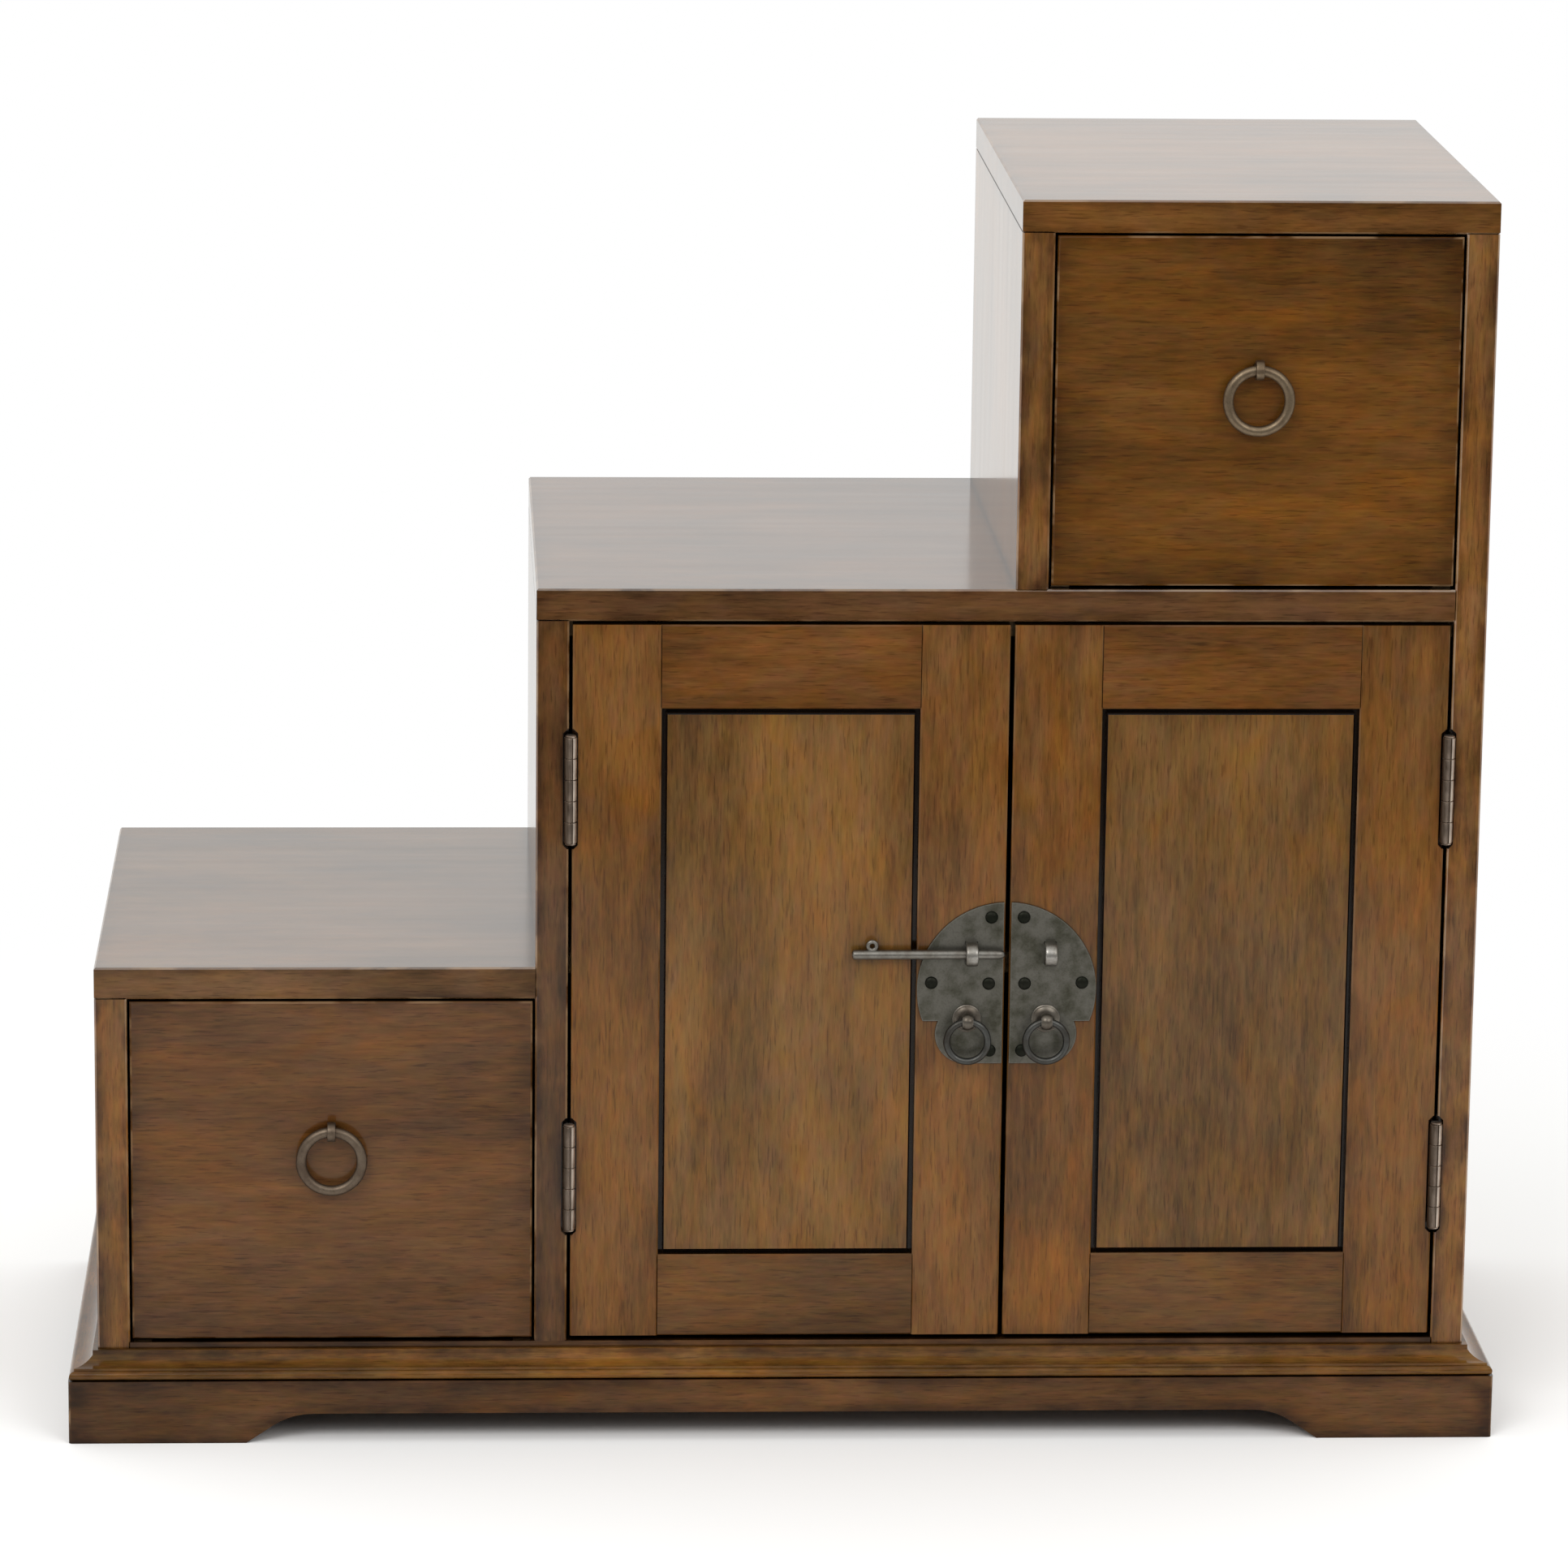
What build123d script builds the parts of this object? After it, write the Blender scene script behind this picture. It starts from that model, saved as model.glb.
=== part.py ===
"""Step chest (kaidan tansu): three stepped tiers on a plinth, two drawers and a cupboard.

Sizes are in millimetres. X runs from left to right as one faces the chest, the front
looks along -Y and +Z is up. The origin is on the floor, at the middle of the outline.
"""

import os
from collections import namedtuple
from math import cos, pi, tan

from build123d import *

os.makedirs("parts", exist_ok=True)

# ---- Case -------------------------------------------------------------------------
board = 18.0               # thickness of every case board
low_tread = 244.0          # width of the lowest step, up to the side of the next tier
mid_tread = 263.0          # width of the middle step
high_tread = 261.0         # width of the highest step
low_rise = 216.5           # from the inside floor to the lowest step
mid_rise = 214.0           # from step to step
high_rise = 215.5
case_depth = 334.0
arris = 1.0                # bevel of the edges that show

tongue_thickness = 6.0     # stub tongues that join the boards
tongue_length = 6.0
tongue_setback = 14.0      # from the front and rear edges to a tongue's ends

panel_thickness = 5.0      # plywood back panels
rabbet_width = 8.0
panel_clearance = 0.5      # a back panel's play in its rabbet

# ---- Plinth and moulding ----------------------------------------------------------
plinth_height = 36.0
plinth_projection = 16.0   # how far the plinth stands out from the case
plinth_thickness = 22.0
plinth_corner = 2.0        # rounding of the two front corners
foot_width = 99.0          # front feet, at the floor
side_foot_width = 84.0
arch_height = 17.0         # clear height between the feet
arch_run = 25.0            # how far the foot's slope runs in
arch_radius = 40.0
moulding_height = 14.5      # the bottom board's edge shows above it
bead_radius = 2.7
quirk_height = 1.4         # upright step between the bead and the cove
cove_radius = 12.5
cove_width = 10.0
cove_height = 5.0
moulding_recess = 0.5      # the bead stands this far behind the plinth's face
corner_block = 34.0        # legs of the triangular glue blocks
corner_block_lift = 6.0

# ---- Cupboard fittings ------------------------------------------------------------
shelf_thickness = 12.0
shelf_height = 204.0       # from the cupboard floor to the shelf's underside
shelf_setback = 34.0       # from the front of the case
shelf_play = 1.0
peg_radius = 2.5
peg_length = 18.0
peg_entry = 10.0           # how far a peg sits in its board
peg_inset = 40.0           # from the shelf's front and rear edges
peg_sides = 12
peg_clearance = 0.1
stop_strip = 12.0          # square section of the strip that the doors close against

# ---- Drawers ----------------------------------------------------------------------
front_thickness = 18.0
front_gap = 1.5            # round a drawer front
front_lift = 2.2           # under a drawer front
front_lip = 7.0            # wood left in front of the side's rabbet
drawer_side = 10.0         # thickness of the sides and back
side_inset = 0.5           # the sides stand in from the front's ends
runner_gap = 0.3           # under the sides
side_drop = 8.0            # the sides are lower than the front
back_drop = 3.0            # the back is lower than the sides
back_inset = 12.0          # from the sides' rear ends to the back
dado_depth = 4.0
bottom_thickness = 4.0
bottom_lift = 8.0          # from the sides' lower edges to the bottom panel
groove_depth = 4.0
stop_gap = 0.3             # between a closed drawer and the back panel that stops it

# ---- Ring handles of the drawers --------------------------------------------------
ring_outer = 40.0
ring_wire = 5.5
ring_lift = 24.5           # the ring hangs from this height above the front's middle
staple_width = 4.6
staple_bar = 2.2           # thickness of the staple's bar
staple_stand = 7.0         # from the wood to the ring's pivot
ring_play = 0.6            # round the wire in its staple
clinch_length = 9.0        # legs bent over inside the drawer
ring_sides = 24            # straight lengths that make up a ring
wire_sides = 8             # flats round the wire's section
staple_sides = 16

# ---- Doors ------------------------------------------------------------------------
door_thickness = 18.0
door_gap = 2.0             # beside and above a door
door_lift = 3.0            # under a door
centre_gap = 2.6           # between the doors
stile_width = 49.0
rail_height = 47.2
panel_gap = 2.5            # shadow line round the panel's field
field_recess = 0.3
panel_tongue = 6.0         # thickness of the panel's tongue
tongue_recess = 6.0        # from the door's face to the groove
frame_groove = 8.0         # depth of the groove that holds the panel
panel_float = 1.5          # room for the panel to swell
groove_play = 0.1
tenon_length = 24.0
tenon_shoulder = 8.0       # at the outer edge of each rail
arris_door = 0.8
stop_play = 0.5            # between the closed doors and their strip

# ---- Hinges -----------------------------------------------------------------------
hinge_length = 60.0
hinge_inset = 62.7         # from the door's ends
knuckle_count = 5
knuckle_play = 0.3
knuckle_sides = 12
barrel_radius = 3.5
barrel_stand = 1.5         # the pin's centre stands in front of the case
hinge_pin_radius = 1.5
pin_play = 0.05
leaf_thickness = 1.6
leaf_width = 16.0
leaf_play = 0.3            # from the gap's middle to each leaf
leaf_fit = 0.1             # round a leaf in its recess
leaf_clear = 0.5           # round the other leaf's knuckles
notch_width = 8.3
notch_overrun = 4.0        # beyond each end of the barrel
notch_bevel = 2.4          # at the notch's corners
notch_depth = 5.5
screw_radius = 1.5
screw_head_radius = 2.8
screw_head_depth = 1.4
screw_head_bevel = 1.3     # also the countersink's depth
screw_length = 12.0
screw_spacing = 20.0
screw_sides = 8
screw_fit = 0.1            # play round every screw and stem

# ---- Lock -------------------------------------------------------------------------
plate_radius = 50.0
plate_drop = 3.0           # below the doors' middle
plate_thickness = 1.2
plate_inset = 0.7          # from the door's edge
shoulder_drop = 18.0       # where the round part ends
lobe_radius = 17.0
lobe_offset = 22.5
lobe_drop = 25.5
nail_radius = 3.6
nail_sides = 12
nail_height = 1.6
nail_bevel = 1.2
nail_shank = 1.3
nail_length = 12.0
nail_places = ((9.0, 41.5), (42.0, 4.0), (10.0, 3.5), (9.0, -35.0))

pin_radius = 2.75
pin_length = 85.0
pin_lift = 21.0            # above the plate's centre
pin_stand = 0.6            # between the pin and the plate
pin_reach = 46.0           # past the doors' gap when the lock is shut
pin_retreat = 0.3          # inside the left door's edge when the lock is open
pin_tip = 0.9              # bevel of the pin's ends
pin_sides = 12
curl_radius = 3.6
curl_hole = 1.4
curl_thickness = 2.4
curl_rise = 5.0
curl_spare = 0.8           # between the curl and the eye when the lock is shut
eye_left_offset = 20.0
eye_right_offset = 24.0
eye_width = 6.8
eye_bar = 3.5
eye_play = 0.4
eye_sides = 16
leg_thickness = 2.0
leg_length = 12.0

pull_offset = 22.0         # from the gap's middle to the ring pulls
pull_drop = 16.5
rosette_radius = 8.0
rosette_height = 2.2
rosette_bevel = 1.5
neck_radius = 2.6
ball_radius = 4.75
ball_reach = 4.4           # half the ball's length along the post
ball_bevel = 2.4
post_sides = 12
ball_flat = 3.0            # half the width across the ball's flats
ball_stand = 7.6
stem_radius = 2.0
stem_length = 14.0
pull_outer = 27.0
pull_wire = 4.0
pull_hole = 2.7
pull_hole_sides = 16

# ---- Faces and levels worked out from the sizes -----------------------------------
case_width = low_tread + mid_tread + high_tread
overall_width = case_width + 2 * plinth_projection
overall_depth = case_depth + plinth_projection
left_face = -case_width / 2
right_face = case_width / 2
front_face = plinth_projection - overall_depth / 2
rear_face = overall_depth / 2
divider_left = left_face + low_tread
tall_left = divider_left + mid_tread

floor_level = plinth_height + board
low_top = floor_level + low_rise
mid_top = low_top + mid_rise
high_top = mid_top + high_rise

panel_face = rear_face - panel_thickness
case_run = (front_face, rear_face)
tongue_run = (front_face + tongue_setback, rear_face - tongue_setback)

Bay = namedtuple("Bay", "left right bottom top")
low_bay = Bay(left_face + board, divider_left, floor_level, low_top - board)
cupboard = Bay(divider_left + board, right_face - board, floor_level, mid_top - board)
high_bay = Bay(tall_left + board, right_face - board, mid_top, high_top - board)

door_bottom = cupboard.bottom + door_lift
door_top = cupboard.top - door_gap
gap_middle = (cupboard.left + cupboard.right) / 2
door_rear = front_face + door_thickness
hinge_left = cupboard.left + door_gap / 2
hinge_right = cupboard.right - door_gap / 2
hinge_y = front_face - barrel_stand
hinge_bottoms = (door_bottom + hinge_inset, door_top - hinge_inset - hinge_length)
knuckle = hinge_length / knuckle_count
case_knuckles = range(0, knuckle_count, 2)
door_knuckles = range(1, knuckle_count, 2)

plate_level = (door_bottom + door_top) / 2 - plate_drop
plate_front = front_face - plate_thickness
pin_level = plate_level + pin_lift
pin_y = plate_front - pin_stand - pin_radius
pin_right = gap_middle - centre_gap / 2 - pin_retreat
pin_travel = gap_middle + pin_reach - pin_right
leg_offset = pin_radius + eye_play + eye_bar - leg_thickness / 2
pull_level = plate_level - pull_drop
pull_y = plate_front - ball_stand


# ---- Helpers ----------------------------------------------------------------------
def save(piece, label):
    """Names a finished piece and writes it to its own file."""
    piece.part.label = label
    export_step(piece.part, f"parts/{label}.step")


def block(x, y, z, mode=Mode.ADD):
    """A straight board or cut between a low and a high limit along each axis."""
    with BuildSketch(Plane.XY.offset(z[0])) as foot:
        with Locations(((x[0] + x[1]) / 2, (y[0] + y[1]) / 2)):
            Rectangle(x[1] - x[0], y[1] - y[0])
    extrude(foot.sketch, amount=z[1] - z[0], mode=mode)


def front_plane(y=front_face):
    """An upright plane that faces the front, with X and Z as its own axes."""
    return Plane.XZ.offset(-y)


def side_plane(x, direction):
    """An upright plane that faces left (-1) or right (1), with Y as its own X axis."""
    return Plane(origin=(x, 0, 0), x_dir=(0, 1, 0), z_dir=(direction, 0, 0))


def span(start, length):
    """The low and high limits of a length that may run either way."""
    return tuple(sorted((start, start + length)))


def prisms(plane, places, reach, radius, sides, mode=Mode.ADD):
    """Round pieces with flat sides, or their holes, between two heights above a plane."""
    with BuildSketch(plane.offset(reach[0])) as foot:
        with Locations(*places):
            RegularPolygon(radius, sides)
    extrude(foot.sketch, amount=reach[1] - reach[0], mode=mode)


def edges_at(part, axis, position):
    """A part's edges that lie in the plane at one position along an axis."""
    return part.edges().filter_by_position(axis, position - 0.01, position + 0.01)


def upright_tongue(left, level, direction, mode):
    """The tongue on a standing board's end, or its groove in the board it meets."""
    middle = left + board / 2
    block(span(middle - tongue_thickness / 2, tongue_thickness), tongue_run,
          span(level, direction * tongue_length), mode)


def level_tongue(bottom, face, direction, mode):
    """The tongue on a lying board's end, or its groove in the board it meets."""
    middle = bottom + board / 2
    block(span(face, direction * tongue_length), tongue_run,
          span(middle - tongue_thickness / 2, tongue_thickness), mode)


def back_rabbets():
    """The rabbets behind the three bays, which take the back panels."""
    for bay in (low_bay, cupboard, high_bay):
        block((bay.left - rabbet_width, bay.right + rabbet_width), (panel_face, rear_face),
              (bay.bottom - rabbet_width, bay.top + rabbet_width), Mode.SUBTRACT)


def ease_front(part, axis):
    """Bevels a board's front edges that run along one axis."""
    chamfer(part.edges().filter_by(axis).group_by(Axis.Y)[0], length=arris)


def shelf_pegs(face, direction, radius, mode):
    """The two pegs that hold the shelf at one side of the cupboard, or their holes."""
    level = floor_level + shelf_height - peg_radius
    places = [(y, direction * level) for y in (front_face + shelf_setback + peg_inset,
                                               panel_face - shelf_play - peg_inset)]
    prisms(side_plane(face - direction * peg_entry, direction), places, (0, peg_length),
           radius, peg_sides, mode)


def hinge_cuts(axis_x, away):
    """The hinge notches in a board's front edge and the leaf recesses in its side."""
    for bottom in hinge_bottoms:
        with BuildSketch(front_plane()) as notch:
            with Locations((axis_x, bottom + hinge_length / 2)):
                Rectangle(notch_width, hinge_length + 2 * notch_overrun)
            chamfer(notch.vertices(), length=notch_bevel)
        extrude(notch.sketch, amount=-notch_depth, mode=Mode.SUBTRACT)
        recess = leaf_play + leaf_thickness + leaf_fit
        block(span(axis_x, away * recess), (front_face, hinge_y + leaf_width + leaf_fit),
              (bottom - leaf_fit, bottom + hinge_length + leaf_fit), Mode.SUBTRACT)
    screw_holes(axis_x, away)


def screw_places(axis_x, away):
    """The face of one side's two leaves and where their screws stand on it."""
    middle_y = hinge_y + (barrel_radius + leaf_width) / 2
    places = [(middle_y, away * (bottom + hinge_length / 2 + step * screw_spacing))
              for bottom in hinge_bottoms for step in (-1, 0, 1)]
    return side_plane(axis_x + away * leaf_play, away), places


def screw_holes(axis_x, away):
    """The straight holes for the shanks of one side's leaf screws."""
    plane, places = screw_places(axis_x, away)
    prisms(plane, places, (0, screw_length + screw_fit), screw_radius + screw_fit, screw_sides,
           Mode.SUBTRACT)


def leaf_screws(part, axis_x, away):
    """The countersunk screws of one side's two leaves."""
    plane, places = screw_places(axis_x, away)
    prisms(plane, places, (0, screw_head_depth), screw_head_radius, screw_sides)
    chamfer(edges_at(part, Axis.X, axis_x + away * (leaf_play + screw_head_depth)),
            length=screw_head_bevel)
    prisms(plane, places, (0, screw_length), screw_radius, screw_sides)


def hinge_leaves(part, axis_x, away, own_knuckles):
    """Two leaves with their knuckles; away points from the pin to the wood they lie in."""
    face = axis_x + away * leaf_play
    for bottom in hinge_bottoms:
        block(span(face, away * leaf_thickness), (hinge_y, hinge_y + leaf_width),
              (bottom, bottom + hinge_length))
    screw_holes(axis_x, away)
    rims = edges_at(part, Axis.X, face).filter_by(lambda edge: edge.length < screw_radius)
    chamfer(rims, length=screw_head_bevel)
    for bottom in hinge_bottoms:
        for number in range(knuckle_count):
            own = number in own_knuckles
            play = knuckle_play / 2 if own else 0
            prisms(Plane.XY.offset(bottom + number * knuckle), ((axis_x, hinge_y),),
                   (play, knuckle - play), barrel_radius if own else barrel_radius + leaf_clear,
                   knuckle_sides, Mode.ADD if own else Mode.SUBTRACT)
    hinge_pins(axis_x, (hinge_pin_radius + pin_play) / cos(pi / knuckle_sides), Mode.SUBTRACT)


def hinge_pins(axis_x, radius, mode):
    """The pins of one door's two hinges, or their holes."""
    for bottom in hinge_bottoms:
        prisms(Plane.XY.offset(bottom), ((axis_x, hinge_y),), (0, hinge_length), radius,
               knuckle_sides, mode)


# ---- Case boards ------------------------------------------------------------------
with BuildPart() as side_left:
    block((left_face, left_face + board), case_run, (plinth_height, low_top - board))
    ease_front(side_left, Axis.Z)
    upright_tongue(left_face, low_top - board, 1, Mode.ADD)
    level_tongue(plinth_height, left_face + board, -1, Mode.SUBTRACT)
    back_rabbets()
save(side_left, "side_left")

with BuildPart() as divider:
    block((divider_left, cupboard.left), case_run, (floor_level, mid_top - board))
    ease_front(divider, Axis.Z)
    upright_tongue(divider_left, mid_top - board, 1, Mode.ADD)
    upright_tongue(divider_left, floor_level, -1, Mode.ADD)
    level_tongue(low_top - board, divider_left, 1, Mode.SUBTRACT)
    hinge_cuts(hinge_left, -1)
    shelf_pegs(cupboard.left, 1, peg_radius + peg_clearance, Mode.SUBTRACT)
    back_rabbets()
save(divider, "divider")

with BuildPart() as side_tall:
    block((tall_left, high_bay.left), case_run, (mid_top, high_top - board))
    ease_front(side_tall, Axis.Z)
    upright_tongue(tall_left, high_top - board, 1, Mode.ADD)
    upright_tongue(tall_left, mid_top, -1, Mode.ADD)
    back_rabbets()
save(side_tall, "side_tall")

with BuildPart() as side_right:
    block((right_face - board, right_face), case_run, (plinth_height, high_top - board))
    ease_front(side_right, Axis.Z)
    upright_tongue(right_face - board, high_top - board, 1, Mode.ADD)
    level_tongue(mid_top - board, right_face - board, 1, Mode.SUBTRACT)
    level_tongue(plinth_height, right_face - board, 1, Mode.SUBTRACT)
    hinge_cuts(hinge_right, 1)
    shelf_pegs(cupboard.right, -1, peg_radius + peg_clearance, Mode.SUBTRACT)
    back_rabbets()
save(side_right, "side_right")

with BuildPart() as top_low:
    block((left_face, divider_left), case_run, (low_top - board, low_top))
    ease_front(top_low, Axis.X)
    chamfer(top_low.edges().filter_by(Axis.Y).sort_by(Axis.X)[0:2], length=arris)
    level_tongue(low_top - board, divider_left, 1, Mode.ADD)
    upright_tongue(left_face, low_top - board, 1, Mode.SUBTRACT)
    back_rabbets()
save(top_low, "top_low")

with BuildPart() as top_mid:
    block((divider_left, cupboard.right), case_run, (mid_top - board, mid_top))
    ease_front(top_mid, Axis.X)
    chamfer(top_mid.edges().filter_by(Axis.Y).sort_by(Axis.X)[0:2], length=arris)
    level_tongue(mid_top - board, cupboard.right, 1, Mode.ADD)
    upright_tongue(divider_left, mid_top - board, 1, Mode.SUBTRACT)
    upright_tongue(tall_left, mid_top, -1, Mode.SUBTRACT)
    back_rabbets()
save(top_mid, "top_mid")

with BuildPart() as top_high:
    block((tall_left, right_face), case_run, (high_top - board, high_top))
    ease_front(top_high, Axis.X)
    chamfer(top_high.edges().filter_by(Axis.Y), length=arris)
    for left in (tall_left, right_face - board):
        upright_tongue(left, high_top - board, 1, Mode.SUBTRACT)
    back_rabbets()
save(top_high, "top_high")

with BuildPart() as bottom_board:
    block((left_face + board, right_face - board), case_run, (plinth_height, floor_level))
    level_tongue(plinth_height, left_face + board, -1, Mode.ADD)
    level_tongue(plinth_height, right_face - board, 1, Mode.ADD)
    upright_tongue(divider_left, floor_level, -1, Mode.SUBTRACT)
    back_rabbets()
save(bottom_board, "bottom_board")

panel_margin = rabbet_width - panel_clearance
for name, bay in (("low", low_bay), ("mid", cupboard), ("high", high_bay)):
    with BuildPart() as back_panel:
        block((bay.left - panel_margin, bay.right + panel_margin), (panel_face, rear_face),
              (bay.bottom - panel_margin, bay.top + panel_margin))
    save(back_panel, f"back_panel_{name}")

# ---- Shelf and door strip ---------------------------------------------------------
shelf_level = floor_level + shelf_height
with BuildPart() as shelf:
    block((cupboard.left + shelf_play, cupboard.right - shelf_play),
          (front_face + shelf_setback, panel_face - shelf_play),
          (shelf_level, shelf_level + shelf_thickness))
    ease_front(shelf, Axis.X)
save(shelf, "shelf")

with BuildPart() as pegs:
    shelf_pegs(cupboard.left, 1, peg_radius, Mode.ADD)
    shelf_pegs(cupboard.right, -1, peg_radius, Mode.ADD)
save(pegs, "shelf_pegs")

with BuildPart() as door_strip:
    block((cupboard.left, cupboard.right), span(door_rear + stop_play, stop_strip),
          (cupboard.top - stop_strip, cupboard.top))
save(door_strip, "door_stop_strip")


# ---- Plinth -----------------------------------------------------------------------
def skirt_outline(length, foot):
    """A plinth board's face: two feet with a low flat arch between them."""
    half = length / 2
    with BuildSketch() as outline:
        with BuildLine():
            Polyline((-half, 0), (-half, plinth_height), (half, plinth_height), (half, 0),
                     (half - foot, 0), (half - foot - arch_run, arch_height),
                     (foot + arch_run - half, arch_height), (foot - half, 0), close=True)
        make_face()
        fillet(outline.vertices().group_by(Axis.Y)[1], radius=arch_radius)
    return outline.sketch


def moulding_outline():
    """The moulding's section, outwards and up from where the case meets the plinth."""
    nose = plinth_projection - moulding_recess - bead_radius
    cove_foot = 2 * bead_radius + quirk_height
    cove_top = (nose - cove_width, cove_foot + cove_height)
    with BuildSketch() as outline:
        with BuildLine():
            Polyline(cove_top, (cove_top[0], moulding_height), (0, moulding_height), (0, 0),
                     (nose, 0))
            ThreePointArc((nose, 0), (nose + bead_radius, bead_radius), (nose, 2 * bead_radius))
            Line((nose, 2 * bead_radius), (nose, cove_foot))
            RadiusArc((nose, cove_foot), cove_top, cove_radius)
        make_face()
    return outline.sketch


def mitre(side, keep):
    """Cuts a piece along the mitre at the plinth's front left (-1) or right (1) corner."""
    corner = (side * overall_width / 2, -overall_depth / 2, 0)
    split(bisect_by=Plane(origin=corner, z_dir=(-side, -1, 0)), keep=keep)


def round_front_corners():
    """Trims a plinth board to the plinth's outline with its rounded front corners."""
    with BuildSketch() as outline:
        Rectangle(overall_width, overall_depth)
        fillet(outline.vertices().group_by(Axis.Y)[0], radius=plinth_corner)
    extrude(outline.sketch, amount=plinth_height, mode=Mode.INTERSECT)


with BuildPart() as plinth_front:
    with BuildSketch(front_plane(-overall_depth / 2)):
        add(skirt_outline(overall_width, foot_width))
    extrude(amount=-plinth_thickness)
    mitre(-1, Keep.TOP)
    mitre(1, Keep.TOP)
    round_front_corners()
save(plinth_front, "plinth_front")

for side, name in ((-1, "left"), (1, "right")):
    outer_face = Plane(origin=(side * overall_width / 2, 0, 0), x_dir=(0, side, 0),
                       z_dir=(side, 0, 0))
    with BuildPart() as plinth_side:
        with BuildSketch(outer_face):
            add(skirt_outline(overall_depth, side_foot_width))
        extrude(amount=-plinth_thickness)
        mitre(side, Keep.BOTTOM)
        round_front_corners()
    save(plinth_side, f"plinth_{name}")

with BuildPart() as plinth_back:
    inner = overall_width / 2 - plinth_thickness
    block((-inner, inner), (rear_face - plinth_thickness, rear_face), (0, plinth_height))
save(plinth_back, "plinth_back")

with BuildPart() as corner_blocks:
    with BuildSketch(Plane.XY.offset(corner_block_lift)):
        for sx in (-1, 1):
            for sy in (-1, 1):
                x = sx * (overall_width / 2 - plinth_thickness)
                y = sy * (overall_depth / 2 - plinth_thickness)
                with BuildLine():
                    Polyline((x, y), (x - sx * corner_block, y), (x, y - sy * corner_block),
                             close=True)
                make_face()
    extrude(amount=plinth_height - corner_block_lift)
save(corner_blocks, "plinth_corner_blocks")

moulding_runs = (
    (Plane(origin=(overall_width / 2, front_face, plinth_height), x_dir=(0, -1, 0),
           z_dir=(-1, 0, 0)), overall_width, ((-1, Keep.TOP), (1, Keep.TOP))),
    (Plane(origin=(left_face, -overall_depth / 2, plinth_height), x_dir=(-1, 0, 0),
           z_dir=(0, 1, 0)), overall_depth, ((-1, Keep.BOTTOM),)),
    (Plane(origin=(right_face, rear_face, plinth_height), x_dir=(1, 0, 0),
           z_dir=(0, -1, 0)), overall_depth, ((1, Keep.BOTTOM),)),
)
lengths = []
for plane, length, mitres in moulding_runs:
    with BuildPart() as moulding_length:
        with BuildSketch(plane):
            add(moulding_outline())
        extrude(amount=length)
        for side, kept in mitres:
            mitre(side, kept)
    lengths.append(moulding_length.part)
moulding = Compound(children=lengths)
moulding.label = "base_moulding"
export_step(moulding, "parts/base_moulding.step")


# ---- Drawers ----------------------------------------------------------------------
def round_ring(part, outer, wire, x, y, level):
    """A closed ring of eight-sided wire that hangs from a pivot through its top."""
    drop = (outer - wire) / 2 * cos(pi / ring_sides)
    with BuildSketch(Plane.XZ.offset(-y - wire / 2)) as outline:
        with Locations((x, level - drop)):
            RegularPolygon(outer / 2, ring_sides, rotation=180 / ring_sides)
            RegularPolygon(outer / 2 - wire, ring_sides, rotation=180 / ring_sides,
                           mode=Mode.SUBTRACT)
    extrude(outline.sketch, amount=wire)
    bevel = wire / 2 * (1 - tan(pi / wire_sides))
    chamfer(part.faces().filter_by(Axis.Y).edges(), length=bevel)


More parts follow.
